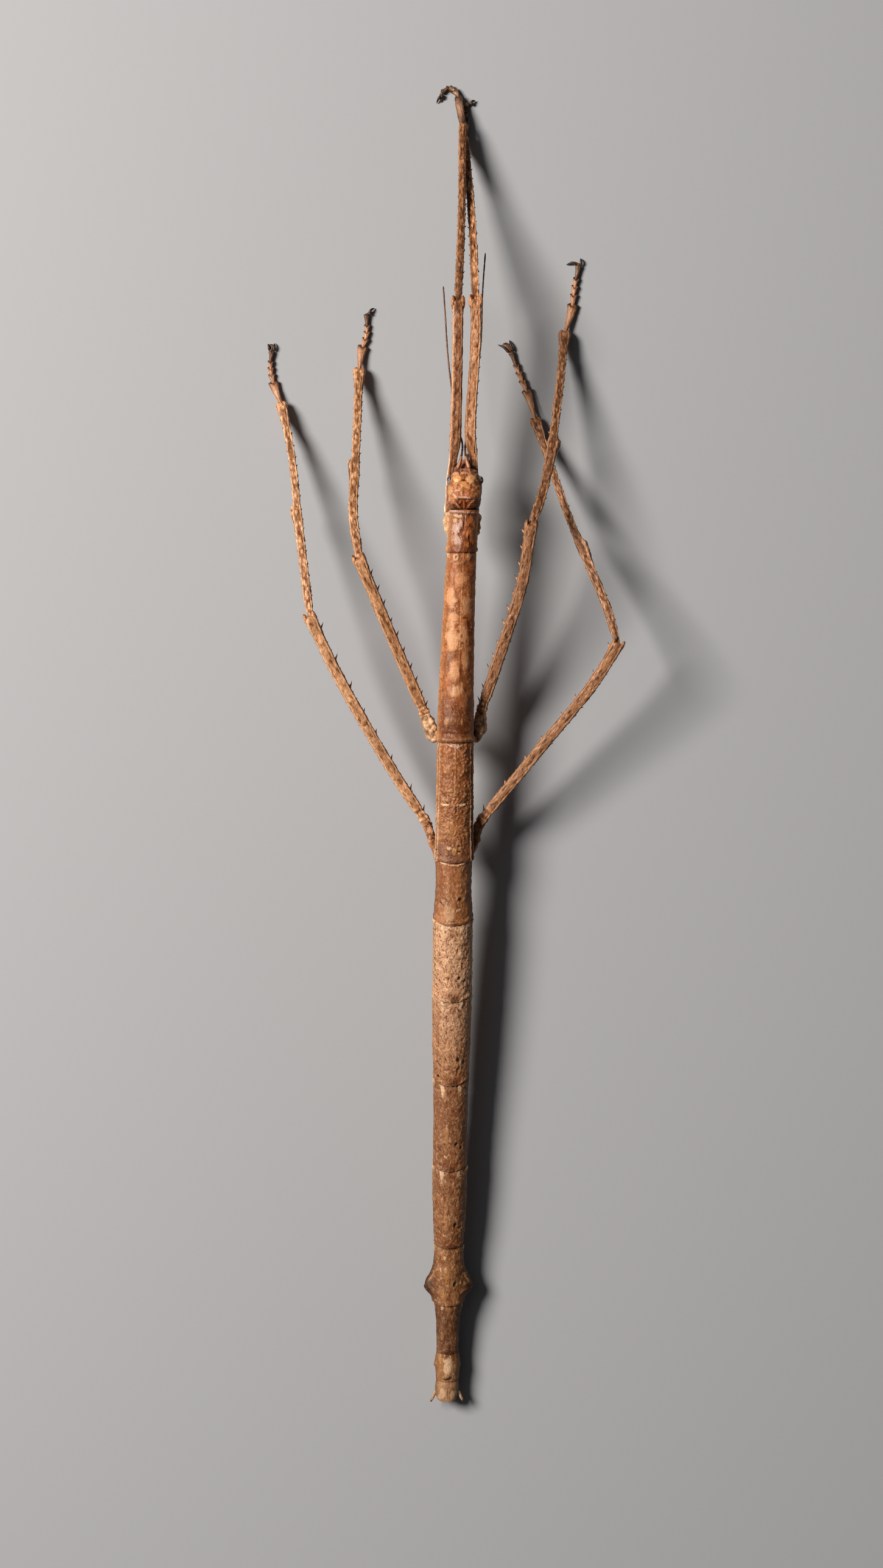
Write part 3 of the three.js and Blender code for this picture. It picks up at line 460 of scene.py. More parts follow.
    # ridges that run along the body
    keel = hump(edge - 1.0, 0.05) + 0.9 * hump(edge - 1.24, 0.05)
    groove = hump(edge - 1.12, 0.05)
    keel_strength = np.where(median, 1.0, np.where(meta, 0.6, np.where(ring == 5, 0.25, 0.0)))
    relief = relief + 0.28 * keel_strength * (keel - 0.7 * groove)
    paint(keel * keel_strength, SHADES["pale"], 0.75)
    paint(groove * keel_strength, SHADES["dark"], 0.6)
    spine_line = across + np.where(meso, 0.62 - 0.5 * np.clip((t - 0.7) / 0.3, 0, 1), 0.1)
    ridge = np.where(meso & (t < 0.72), 0.7, np.where(meta & (t < 0.8), 1.0, 0.0)) * hump(spine_line, 0.14) * on_back
    relief = relief + 0.1 * ridge
    paint(ridge, SHADES["tan"], 0.5)
    # the soft pleat low on each flank
    relief = relief - 0.24 * hump(edge - 1.95, 0.07) * (ring < 10)
    paint(hump(edge - 1.95, 0.09) * (ring < 10), SHADES["dark"], 0.6)

    # plates, scars and spots
    marks = list(MARKS)
    for where in (5, 6, 7, 8):
        length, big = LENGTHS[where], HALVES[where, 1] / 5.5
        marks += [
            (where, 1.2, 2.7 * big, 1.6, 0.6, 8, 0.1, "pale", 0.85),
            (where, 0.9, -2.8 * big, 1.1, 0.5, -8, 0.1, "pale", 0.7),
            (where, 2.1, -0.3, 1.2, 0.9 * big, 0, -0.04, "brown", 0.5),
            (where, 0.69 * length, -2.0 * big, 0.42, 0.45, 20, -0.3, "black", 0.9),
            (where, 0.69 * length, 1.5 * big, 0.24, 0.5, -22, -0.18, "dark", 0.8),
            (where, 0.77 * length, 3.4 * big, 0.22, 0.8, -32, -0.2, "dark", 0.8),
            (where, 0.75 * length, -3.4 * big, 0.35, 0.42, 0, -0.2, "dark", 0.85),
            (where, 0.8 * length, -2.0 * big, 0.3, 0.42, 0, -0.14, "dark", 0.6),
            (where, 0.81 * length, 1.3 * big, 0.16, 0.5, 20, -0.12, "dark", 0.6),
            (where, 0.835 * length, 1.4 * big, 0.2, 0.45, 0, 0.12, "pale", 0.6),
            (where, length - 0.75, -0.5, 0.75, 1.15, 0, 0.12, "dark", 0.8),
            (where, length - 1.5, 0.1, 1.0, 4.0, 0, 0.03, "brown", 0.45),
            (where, 0.6 * length, 1.0, 3.4, 0.5, 0, 0.05, "tan", 0.45),
        ]
    for where, place, aside, long, wide, turned, height, shade, amount in marks:
        if not first <= where <= last:
            continue
        gap = along - place
        drift = across - half * np.arcsin(np.clip(aside / half, -0.98, 0.98))
        mask = stamp(gap, drift, ragged, long, wide, turned) * on_back * (ring == where)
        relief = relief * (1 - 0.6 * mask * amount) + height * mask
        paint(mask, SHADES[shade], amount)
    paint(np.where(pro & (edge < 1.4), hump(along - rim_line - 0.62, 0.2), 0), SHADES["dark"], 0.7)
    # the collar rim painted pink, partly its own pale colour and partly a painted highlight that grows stronger
    # towards the insect's left, the lamp's side
    paint(collar_rim * (edge < 1.5), SHADES["pink"], 0.65 + 0.1 * np.clip(across, -3.5, 3.5))

    # pale corners at the front of each ring of the abdomen
    corner = np.where((ring >= 5) & (ring <= 9), hump(along - 0.8, 0.95) * hump(edge - 1.36, 0.17), 0)
    corner = corner + np.where(ring == 10, 0.5 * hump(along - 0.9, 1.0) * hump(edge - 1.4, 0.15), 0)
    relief = relief + 0.42 * corner
    paint(corner, SHADES["pale"], 0.85)
    # painted shade: the rim's own shadow line at the front of each ring, and the blind collar, the bottom of the
    # tuck, painted dark
    rim_shadow = np.where(along > -0.01, np.exp(-((np.clip(along, 0, None) / 0.26) ** 2)), 0) * (ring != first)
    paint(rim_shadow * np.where(median, 0.0, np.where(ring < 11, 1.0, 0.35)), SHADES["black"], 0.95)
    paint((along < 0) * 1.0, SHADES["dark"], 0.9)

    # side flaps of the seventh ring and the little teeth of the ninth
    gap = along - 0.75 * LENGTHS[9]
    flap = np.where(ring == 9, 2.5 * np.exp(-((gap / np.where(gap < 0, 4.2, 2.3)) ** 2)), 0)
    flap = flap + np.where(ring == 11, 0.5 * np.exp(-np.abs((along - 3.9) / np.where(along < 3.9, 1.6, 0.5))), 0)
    flap = flap * np.abs(side) ** 8 * np.sign(side)
    paint(np.where(ring == 9, np.abs(flap), 0) * 0.9, SHADES["dark"], 0.55)
    streak = np.where(ring == 9, hump(edge - 1.22 - 0.06 * (along - 9), 0.06) * hump(along - 9.0, 1.6), 0)
    paint(streak, SHADES["tan"], 0.7)

    # the blind collar and the closed rear end
    closing = np.ones_like(reach)
    closing[0], closing[-1] = 0, 0
    closing[1:8] = (0.4 if first == 0 else 0.86)
    closing[-3:-1] = np.array([0.94, 0.66])[:, None]
    half, roof, belly = half * closing, roof * closing, belly * closing
    relief = relief * closing

    width = half + relief
    lift = np.where(top > 0, roof, belly) + relief
    middle_line = trunk_axis(reach - bow)
    upward = top * lift
    upward = np.where(ring >= 10, np.maximum(upward, -TERGITE_FLOOR * closing), upward)
    place = middle_line.copy()
    place[..., 0] += side * width + flap * closing
    place[..., 2] += upward
    place[..., 1] += 0.0714 * upward
    tint = tint * (0.97, 0.93, 0.82)
    return sheet(place, {"lie": flat + seed, "tint": np.clip(tint, 0.004, 0.95), "worn": strength})


trunk_finish = cuticle("trunk_cuticle", worms=0.7, specks=0.3, mottle=0.25, gloss=0.45, lift=0.45)
skin("thorax", [trunk_sheet(0, 3, 168, 3.1)], trunk_finish, [name for name, *_ in RINGS[:4]])
skin("abdomen", [trunk_sheet(4, 12, 138, 7.7)], trunk_finish, [name for name, *_ in RINGS[4:]])

# ---- Tail: the egg plate and the two tail feelers ----
# A boat-shaped plate of thin cuticle hangs under the last three rings, and the insect rests on its keel.
# The tail feelers are two short soft pegs at the sides of the last ring, pale with dark tips.

PLATE_FRONT, PLATE_REAR, PLATE_HALF = 157.3, 182.6, 2.8
PLATE_TINT = dye(150, 108, 76)


def egg_plate():
    reach = np.linspace(PLATE_FRONT, PLATE_REAR, 120)[:, None]
    angle = (np.linspace(0, 2 * np.pi, 97) + np.pi / 2)[None, :]
    reach, angle = np.broadcast_arrays(reach, angle)
    side, top = np.cos(angle), np.sin(angle)
    t = (reach - PLATE_FRONT) / (PLATE_REAR - PLATE_FRONT)
    middle_line = trunk_axis(reach)
    floor_depth = middle_line[..., 2] + 0.5
    keel = np.minimum(3.7 + 1.9 * t, floor_depth) * (1 - 0.45 * t**16) - 0.06
    half = PLATE_HALF * (1 - 0.28 * t**3)
    flat = np.stack([side * half, reach, top * keel], axis=-1)
    ribs = 0.05 * rough(flat, (0.7, 2.2, 0.7), 41.0) + 0.04 * rough(flat, (0.35, 0.6, 0.35), 43.0)
    lift = np.where(top > 0, 0.0, top * (keel + ribs + 0.18 * hump(side, 0.12)))
    closing = np.clip(np.minimum(t, 1 - t) * 40, 0, 1) ** 0.5
    top_line = -(TERGITE_FLOOR + 0.3)
    lift = np.minimum(lift, top_line)
    place = middle_line.copy()
    place[..., 0] += side * (half + ribs) * closing
    place[..., 2] += top_line + (lift - top_line) * closing
    place[..., 2] = np.maximum(place[..., 2], 0.0)
    tint = PLATE_TINT * (1 + 0.3 * rough(flat, (1.4, 3.0, 1.4), 45.0))[..., None]
    rim = np.clip(1 - (top_line - lift) / 0.5, 0, 1)[..., None] * (top < 0)[..., None]
    tint = tint * (1 - 0.5 * rim) + dye(96, 62, 42) * 0.5 * rim
    return sheet(place, {"lie": flat, "tint": np.clip(tint, 0, 1), "worn": np.full(reach.shape, 0.5)})


skin("egg_plate", [egg_plate()], trunk_finish, ["operculum"])


def tail_feeler(hand):
    t = np.linspace(0, 1, 24)[:, None]
    angle = np.linspace(0, 2 * np.pi, 21)[None, :]
    root = trunk_axis(np.array(181.6)) + np.array([hand * 3.1, -0.3, 0.2])
    heading = np.array([hand * 1.45, 3.2, 0.0])
    at = root + heading * t
    girth = 0.42 * (1 - 0.2 * t) * np.sqrt(np.clip(1 - t**5, 0, 1)) * np.sqrt(np.clip(t * 12, 0, 1))
    out = np.array([1.0, -hand * 0.4, 0.0])
    place = (at[:, None] + (np.cos(angle) * girth)[..., None] * out
             + (np.sin(angle) * girth)[..., None] * np.array([0, 0, 1.0]))
    place = place + (0.05 * rough(place, (0.4, 0.4, 0.4), 51.0))[..., None]
    dark = np.clip((t - 0.62) * 3.5, 0, 1)[..., None] * np.ones(angle.shape)[..., None]
    tint = dye(196, 160, 128) * (1 - dark) + dye(48, 32, 24) * dark
    return sheet(place, {"lie": place * 1.0, "tint": tint, "worn": np.zeros(place.shape[:2])})


for side_name, hand in (("left", 1), ("right", -1)):
    skin(f"tail_feeler_{side_name}", [tail_feeler(hand)], trunk_finish, [f"cercus_{side_name}"])

# ---- Head ----
# The head is one hard capsule: a humped crown with a crossways crest, a steep grooved back behind it, two
# ochre swellings between the eyes, sunken sockets for the feelers, and a raised ring round each eye.

HEAD_X, HEAD_Z, HEAD_DRIFT = -5.65, 21.5, 0.03
HEAD_HALF = [(0.0, 3.0), (0.5, 3.9), (1.4, 4.25), (2.8, 4.5), (4.6, 4.66), (6.0, 4.62), (7.4, 4.4), (8.8, 4.0),
             (10.0, 3.5), (10.8, 3.0), (11.4, 2.3)]
HEAD_UP = [(0.0, 1.4), (0.5, 2.1), (1.4, 3.1), (2.6, 4.05), (3.4, 4.3), (5.0, 4.15), (7.0, 3.85), (9.0, 3.4),
           (10.2, 2.7), (11.0, 1.9), (11.4, 1.2)]
HEAD_DOWN = [(0.0, 2.4), (1.0, 3.1), (3.0, 3.6), (6.0, 3.7), (9.0, 3.6), (10.6, 3.3), (11.4, 2.6)]
# Swellings, ridges and blotches of the crown, each as the marks of the trunk but measured ahead of the neck.
# The pinkish-white streaks on the crest and the pale spot on the left swelling are painted highlights, and the
# near-black patch on the right of the back is painted shade.
HEAD_MARKS = [
    (8.2, 1.95, 1.15, 1.1, 0, 0.26, (228, 158, 92), 0.95), (8.2, -1.6, 1.15, 1.2, 0, 0.26, (222, 162, 106), 0.9),
    # the pale spot on the left swelling, first in this row, is a painted highlight
    (7.75, 2.35, 0.45, 0.45, 0, 0.08, (250, 206, 150), 0.65), (7.6, -1.5, 0.5, 0.6, 0, 0.05, (232, 178, 124), 0.6),
    (6.6, 0.25, 0.85, 0.95, 0, 0.12, (232, 158, 92), 0.9), (5.85, -1.0, 0.5, 0.65, 0, 0.08, (216, 140, 84), 0.8),
    (5.7, 1.05, 0.16, 0.8, -31, 0.08, (230, 156, 100), 0.85), (8.95, 0.3, 0.4, 0.8, 0, -0.1, (158, 94, 42), 0.85),
    (7.75, 0.2, 0.2, 0.6, 0, -0.16, (84, 36, 12), 1.0), (8.3, 0.05, 0.5, 0.17, 12, -0.14, (92, 42, 16), 0.95),
    (6.45, 1.75, 0.35, 0.42, 0, -0.06, (140, 74, 30), 0.8), (5.95, -2.0, 0.5, 0.6, 20, -0.08, (110, 52, 26), 0.8),
    (4.55, -2.5, 0.22, 0.35, 0, -0.06, (104, 54, 28), 0.8), (5.3, -0.45, 0.16, 0.4, 0, -0.06, (124, 64, 32), 0.7),
    (4.8, 0.2, 0.95, 0.11, 0, -0.1, (116, 56, 26), 0.8), (5.0, 2.25, 0.35, 0.5, 0, 0.14, (226, 164, 130), 0.75),
    (4.95, 1.4, 0.3, 0.42, 0, 0.12, (224, 160, 126), 0.75), (4.1, 0.75, 0.65, 0.27, -10, 0.12, (210, 142, 106), 0.75),
    (4.1, 1.5, 0.5, 0.3, -20, -0.06, (136, 74, 46), 0.7), (4.1, -1.0, 0.75, 0.85, 0, 0.06, (190, 112, 80), 0.6),
    (3.9, -2.4, 0.5, 0.5, 0, 0.08, (168, 100, 68), 0.6), (5.3, 4.1, 1.25, 0.7, 0, 0.16, (206, 154, 106), 0.8),
    (2.6, 4.05, 0.6, 0.4, 0, 0.18, (212, 162, 122), 0.8), (3.3, -3.15, 0.8, 0.6, 0, 0.16, (150, 104, 76), 0.7),
    # the crest's pinkish-white streaks, second in this row and first in the next, are painted highlights; the
    # near-black patch after them is painted shade
    (3.2, 2.4, 1.2, 0.38, -33, 0.24, (228, 168, 136), 0.85), (3.1, 0.9, 0.2, 0.6, -8, 0.14, (232, 182, 158), 0.85),
    (2.9, -0.75, 0.26, 1.0, 6, 0.2, (248, 206, 186), 0.95), (1.0, -3.3, 1.6, 1.5, 0, -0.05, (40, 20, 12), 0.7),
    (0.5, 2.3, 1.35, 0.4, -42, -0.16, (58, 26, 14), 0.9), (1.65, 1.6, 0.85, 0.3, -42, -0.12, (92, 40, 18), 0.9),
    (1.0, 1.7, 1.35, 0.15, -42, 0.16, (212, 148, 110), 0.95), (2.1, 2.75, 0.5, 0.16, -8, 0.14, (214, 152, 118), 0.85),
    (1.75, 1.2, 0.32, 0.32, 0, 0.1, (188, 112, 72), 0.85), (1.5, 0.62, 0.95, 0.18, -12, -0.1, (78, 32, 14), 0.9),
    (1.1, -0.6, 1.0, 0.2, 8, -0.1, (78, 32, 14), 0.85), (1.0, -0.08, 1.15, 0.2, 0, 0.1, (196, 116, 70), 0.85),
    (2.15, -1.05, 0.3, 0.5, 0, 0.1, (184, 110, 82), 0.85), (9.8, 2.6, 0.42, 0.9, 0, 0.12, (208, 158, 128), 0.85),
    (9.85, 0.2, 0.42, 1.0, 0, 0.18, (214, 158, 124), 0.9), (9.9, -1.35, 0.35, 0.27, 0, 0.1, (202, 142, 110), 0.8),
    (10.0, 1.5, 0.6, 0.2, 0, -0.15, (104, 50, 26), 0.85), (9.9, -2.2, 0.6, 0.8, 0, -0.05, (104, 62, 38), 0.8),
    (10.5, 2.7, 0.12, 1.1, 0, -0.1, (66, 32, 18), 0.85), (11.0, -0.4, 0.5, 1.0, 0, 0.06, (198, 132, 102), 0.8),
]
EYE_AHEAD, EYE_APART, EYE_RISE = 8.1, 4.05, 0.8
EYE_HALF = (0.95, 1.15, 1.0)


def head_sheet(columns=190):
    ahead = crowded(11.4, 0.05, 0.075)[:, None]
    angle = (np.linspace(0, 2 * np.pi, columns + 1) - np.pi / 2)[None, :]
    ahead, angle = np.broadcast_arrays(ahead, angle)
    side, top = np.cos(angle), np.sin(angle)
    half = flow(ahead, HEAD_HALF) - 0.05
    rise = np.where(top > 0, flow(ahead, HEAD_UP), flow(ahead, HEAD_DOWN)) - 0.05
    boxy = 0.86
    aside = np.sign(side) * np.abs(side) ** boxy * half
    lift = np.sign(top) * np.abs(top) ** boxy * rise
    flat = np.stack([aside, ahead, lift], axis=-1)
    crown = np.clip(top * 2.2, 0, 1)
    wide = np.abs(aside)

    lump = rough(flat, (1.1, 1.1, 1.1), 6.0)
    grain = rough(flat, (0.42, 0.42, 0.42), 8.0)
    beads = pebbles(flat, (0.7, 0.7, 0.7), 10.0)
    tint = np.broadcast_to(dye(188, 118, 70), flat.shape).copy()

    def paint(mask, colour, amount=1.0):
        nonlocal tint
        mask = (np.clip(mask, 0, 1) * amount)[..., None]
        tint = tint * (1 - mask) + colour * mask

    # the sunken wedge down the back of the head, with ribs that fan out from the neck
    wedge_half = 0.5 + 2.4 * np.clip((ahead - 0.1) / 2.5, 0, 1)
    wedge = np.clip((wedge_half - wide) * 2.5, 0, 1) * np.clip((2.75 - ahead) * 3, 0, 1) * crown
    ribs = np.cos(9 * np.arctan2(aside, ahead + 0.6) + 2.2 * lump)
    relief = -wedge * (0.3 - 0.1 * ribs)
    crest = hump(ahead - 3.1 + 0.1 * lump, 0.35) * np.clip(1 - (wide / 2.9) ** 4, 0, 1) * crown
    relief = relief + 0.2 * crest
    # the brow groove, and the sunken sockets of the feelers
    brow = hump(ahead - 9.35 + 0.04 * wide**2, 0.18) * crown * np.clip((3.0 - wide) * 2, 0, 1)
    socket = np.hypot(ahead - 10.9, wide - 1.9)
    relief = relief - 0.18 * brow
    relief = relief + 0.25 * hump(socket - 0.85, 0.25) * crown - 0.3 * hump(socket, 0.55) * crown
    # cheeks, and the raised ring round each eye
    cheek = hump(angle - 0.55, 0.12) + hump(np.pi - angle - 0.55, 0.12)
    cheek = cheek * (ahead < 6.4) * np.clip(ahead - 1.8, 0, 1)
    eye_gap = np.sqrt((wide - EYE_APART) ** 2 + ((ahead - EYE_AHEAD) / 1.15) ** 2 + (lift - EYE_RISE) ** 2)
    orbit = hump(eye_gap - 1.22, 0.16)
    relief = relief + 0.14 * cheek + 0.2 * orbit - 0.45 * np.clip(1.02 - eye_gap, 0, 1)
    relief = relief + 0.13 * lump + 0.05 * grain + 0.06 * beads * (1 - wedge)

    on_crown = np.clip((lift - 0.6) / 1.6, 0, 1)
    paint(1 - on_crown, dye(128, 82, 50), 0.85)
    paint(np.clip(lump * 1.6, 0, 1), dye(206, 140, 100), 0.5)
    paint(np.clip(-lump * 1.8, 0, 1), dye(126, 66, 34), 0.6)
    paint(np.clip(-grain * 1.6 - 0.2, 0, 1), dye(122, 62, 32), 0.45)
    paint(cheek, dye(190, 140, 96), 0.5)
    paint(np.clip(1.3 - ahead, 0, 1) * (1 - wedge), dye(96, 54, 32), 0.8)
    # the wedge is painted dark brown, partly its own colour and partly painted shade on the slope turned away from
    # the lamp
    paint(wedge, dye(140, 70, 36), 0.9)
    paint(wedge * np.clip(ribs * 1.4 - 0.4, 0, 1), dye(196, 120, 78), 0.65)
    paint(brow, dye(120, 66, 34), 0.7)
    paint(np.clip((ahead - 9.7) * 3, 0, 1), dye(124, 74, 50), 0.95)
    paint(hump(socket - 0.85, 0.28) * crown, dye(176, 122, 92), 0.6)
    paint(hump(socket, 0.5) * crown, dye(70, 38, 26), 0.8)
    ragged = 1 + 0.5 * grain
    for place, beside, long, wide_half, turned, height, shade, amount in HEAD_MARKS:
        mask = stamp(ahead - place, aside - beside, ragged, long, wide_half, turned) * crown
        relief = relief * (1 - 0.5 * mask * amount) + height * mask
        paint(mask, dye(*shade), amount)
    # the rear edge, where the head meets the neck, is painted near black as shade
    paint(hump(ahead - 0.1, 0.25), dye(40, 20, 12), 0.85)
    paint(np.clip((1.14 - eye_gap) * 8, 0, 1), dye(30, 20, 16), 0.95)
    paint(orbit, dye(150, 116, 92), 0.6)

    closing = np.clip(np.minimum(ahead, 11.4 - ahead) / 0.35, 0, 1)
    closing = np.sqrt(np.clip(1 - (1 - closing) ** 2, 0, 1))
    aside = aside + np.sign(side) * np.abs(side) * relief
    lift = lift + top * relief
    place = np.stack([HEAD_X - HEAD_DRIFT * ahead + aside * closing, NECK_Y - ahead,
                      HEAD_Z + lift * closing - (1 - closing) * 0.6], axis=-1)
    return sheet(place, {"lie": flat, "tint": np.clip(tint, 0.004, 0.95), "worn": np.full(ahead.shape, 0.2)})


head_finish = cuticle("head_cuticle", worms=0.4, specks=0.25, mottle=0.3, gloss=0.36, lift=0.7)
skin("head_capsule", [head_sheet()], head_finish, ["head"])


# ---- Eyes ----
# Compound eyes: glossy domes of tiny lenses, grey-brown with pale cloudy patches, set in the head's rings.

EYE_DARK, EYE_PALE = (0.03, 0.021, 0.02, 1), (0.3, 0.25, 0.23, 1)
eye_finish = bpy.data.materials.new("eye_lens")
eye_finish.use_nodes = True
eye_nodes, eye_links = eye_finish.node_tree.nodes, eye_finish.node_tree.links
eye_shader = eye_nodes["Principled BSDF"]
eye_shader.inputs["Roughness"].default_value = 0.3
eye_shader.inputs["Specular IOR Level"].default_value = 0.35
eye_place = eye_nodes.new("ShaderNodeTexCoord")
clouds = eye_nodes.new("ShaderNodeTexNoise")
clouds.inputs["Scale"].default_value = 1500
clouds.inputs["Detail"].default_value = 2
cloud_range = eye_nodes.new("ShaderNodeMapRange")
cloud_range.inputs["From Min"].default_value = 0.42
cloud_range.inputs["From Max"].default_value = 0.62
eye_mix = eye_nodes.new("ShaderNodeMix")
eye_mix.data_type = "RGBA"
eye_mix.inputs[6].default_value = EYE_DARK
eye_mix.inputs[7].default_value = EYE_PALE
lenses = eye_nodes.new("ShaderNodeTexVoronoi")
lenses.inputs["Scale"].default_value = 9000
eye_bump = eye_nodes.new("ShaderNodeBump")
eye_bump.inputs["Strength"].default_value = 0.25
eye_bump.inputs["Distance"].default_value = 0.00003
eye_links.new(eye_place.outputs["Object"], clouds.inputs["Vector"])
eye_links.new(eye_place.outputs["Object"], lenses.inputs["Vector"])
eye_links.new(clouds.outputs["Fac"], cloud_range.inputs["Value"])
eye_links.new(cloud_range.outputs["Result"], eye_mix.inputs[0])
eye_links.new(eye_mix.outputs[2], eye_shader.inputs["Base Color"])
eye_links.new(lenses.outputs["Distance"], eye_bump.inputs["Height"])
eye_links.new(eye_bump.outputs["Normal"], eye_shader.inputs["Normal"])

for side_name, hand in (("left", 1), ("right", -1)):
    bm = bmesh.new()
    bmesh.ops.create_uvsphere(bm, u_segments=48, v_segments=32, radius=1)
    bmesh.ops.scale(bm, vec=Vector(EYE_HALF[i] * MM for i in range(3)), verts=bm.verts)
    for vert in bm.verts:
        vert.co *= 1 + 0.05 * (1 - abs(vert.co.z) / (EYE_HALF[2] * MM))
    middle = (HEAD_X - HEAD_DRIFT * EYE_AHEAD + hand * (EYE_APART - 0.02), NECK_Y - EYE_AHEAD, HEAD_Z + EYE_RISE)
    bmesh.ops.translate(bm, vec=Vector(middle) * MM, verts=bm.verts)
    for face in bm.faces:
        face.smooth = True
    mesh = bpy.data.meshes.new(f"compound_eye_{side_name}")
    bm.to_mesh(mesh)
    bm.free()
    mesh.materials.append(eye_finish)
    piece = bpy.data.objects.new(mesh.name, mesh)
    bpy.context.scene.collection.objects.link(piece)
    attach(piece, "root")
    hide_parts(f"eye_{side_name}")

# ---- Legs ----
# Six legs, each a hip ring, a keeled thigh, a keeled shin and a foot of five short joints, all hard cuticle.
# Rows of dark-tipped spines grow along the keels; the thigh's end has two lobes that clasp the shin.

PAIRS = {
    "fore": {"femur": 1.65, "tibia": 1.25, "tarsus": 1.15},
    "mid": {"femur": 1.6, "tibia": 1.25, "tarsus": 1.2},
    "hind": {"femur": 1.55, "tibia": 1.15, "tarsus": 1.15},
}
STANCE = {
    "fore_left": {
        "coxa": [(-2.6, -53.2, 18.6), (-1.8, -58.5, 17.4), (-1.5, -62.4, 16.2)],
        "femur": [(-1.5, -62.4, 16.2), (-1.8, -70.4, 16.0), (-2.7, -76.8, 17.8), (-3.3, -83.1, 19.6),
                  (-3.9, -108.4, 23.4), (-4.0, -118.8, 24.8)],
        "tibia": [(-4.0, -118.8, 24.8), (-5.0, -142.9, 15.4), (-5.4, -172.0, 4.3)],
        "tarsus": [(-5.4, -172.0, 4.3), (-4.6, -177.4, 2.7), (-3.8, -181.4, 1.4), (-1.7, -183.1, 0.8),
                   (0.6, -181.9, 0.8)],
        "claws": [(1.9, -178.9, 0.4), (0.0, -179.9, 0.4)],
    },
    "fore_right": {
        "coxa": [(-7.9, -53.2, 18.6), (-8.4, -58.5, 17.4), (-8.6, -62.4, 16.2)],
        "femur": [(-8.6, -62.4, 16.2), (-8.7, -70.4, 15.9), (-8.3, -76.8, 17.6), (-7.4, -83.1, 19.6),
                  (-8.8, -108.4, 23.4), (-8.8, -119.2, 24.6)],
        "tibia": [(-8.8, -119.2, 24.6), (-7.9, -143.3, 13.3), (-6.1, -168.8, 1.7)],
        "tarsus": [(-6.1, -168.8, 1.7), (-6.3, -173.5, 0.8), (-6.3, -177.2, 0.8), (-6.9, -179.1, 0.8)],
        "claws": [(-8.5, -178.2, 0.4), (-9.1, -179.7, 0.4)],
    },
    "mid_left": {
        "coxa": [(2.2, 0.6, 14.8), (3.8, -3.2, 14.2), (5.0, -7.0, 14.0)],
        "femur": [(5.0, -7.0, 14.0), (13.9, -27.6, 19.6), (21.5, -45.7, 25.2), (22.8, -48.9, 26.0)],
        "tibia": [(22.8, -48.9, 26.0), (24.6, -62.0, 20.3), (24.2, -75.6, 14.3), (23.5, -103.8, 2.1)],
        "tarsus": [(23.5, -103.8, 2.1), (22.8, -109.6, 0.9), (21.5, -114.0, 0.8), (21.5, -119.9, 0.8)],
        "claws": [(19.2, -121.6, 0.4), (20.0, -119.6, 0.4)],
    },
    "mid_right": {
        "coxa": [(-8.4, 0.6, 14.8), (-9.9, -3.6, 14.2), (-10.3, -7.8, 14.0)],
        "femur": [(-10.3, -7.8, 14.0), (-16.4, -26.0, 18.0), (-21.4, -42.4, 21.9), (-23.8, -58.0, 25.6)],
        "tibia": [(-23.8, -58.0, 25.6), (-27.5, -69.0, 21.1), (-31.2, -90.2, 12.1), (-34.0, -114.2, 2.1)],
        "tarsus": [(-34.0, -114.2, 2.1), (-36.0, -120.8, 0.8), (-36.8, -127.0, 0.8), (-38.0, -133.6, 0.8)],
        "claws": [(-34.4, -133.7, 0.4), (-38.5, -135.6, 0.4)],
    },
    "hind_left": {
        "coxa": [(1.2, 34.2, 13.2), (2.7, 28.6, 12.7), (4.6, 22.8, 12.7)],
        "femur": [(4.6, 22.8, 12.7), (15.6, 5.6, 16.0), (29.6, -19.2, 20.9), (36.2, -33.2, 23.7)],
        "tibia": [(36.2, -33.2, 23.7), (38.9, -52.8, 16.8), (42.4, -80.8, 6.8), (45.3, -94.3, 2.1)],
        "tarsus": [(45.3, -94.3, 2.1), (47.6, -100.4, 0.8), (48.4, -105.0, 0.8), (48.1, -109.6, 0.8)],
        "claws": [(47.2, -111.8, 0.4), (49.2, -111.6, 0.4)],
    },
    "hind_right": {
        "coxa": [(-6.9, 34.2, 13.2), (-8.2, 28.6, 12.7), (-10.0, 22.6, 12.7)],
        "femur": [(-10.0, 22.6, 12.7), (-25.2, 4.0, 17.0), (-41.3, -15.9, 21.6), (-47.4, -26.0, 24.0)],
        "tibia": [(-47.4, -26.0, 24.0), (-44.4, -36.6, 20.8), (-35.2, -60.2, 12.5), (-25.7, -90.0, 2.1)],
        "tarsus": [(-25.7, -90.0, 2.1), (-23.9, -96.9, 0.8), (-21.6, -102.3, 0.8), (-18.9, -109.3, 0.8)],
        "claws": [(-15.2, -111.3, 0.4), (-18.5, -112.7, 0.4)],
    },
}
FORE_FEMUR_WIDTHS = [(0, 0.78), (0.03, 0.86), (0.06, 0.74), (0.24, 0.74), (0.36, 1.02), (0.6, 0.95), (0.94, 0.95), (1, 1.05)]
FEMUR_WIDTHS = [(0, 0.9), (0.03, 1.05), (0.055, 0.84), (0.1, 1.02), (0.5, 1.05), (0.9, 1.08), (0.97, 1.2), (1, 1.05)]
TIBIA_WIDTHS = [(0, 0.8), (0.03, 0.9), (0.08, 1.12), (0.42, 1.14), (0.52, 1.0), (0.88, 1.03), (0.965, 1.36), (1, 1.1)]
LEAF_PLACES = {"left": 0.5, "right": 0.435}
LEAF_SHAPE = [(-0.13, 0), (-0.07, 0.4), (-0.02, 0.95), (0, 1.05), (0.012, 0.5), (0.028, 0)]
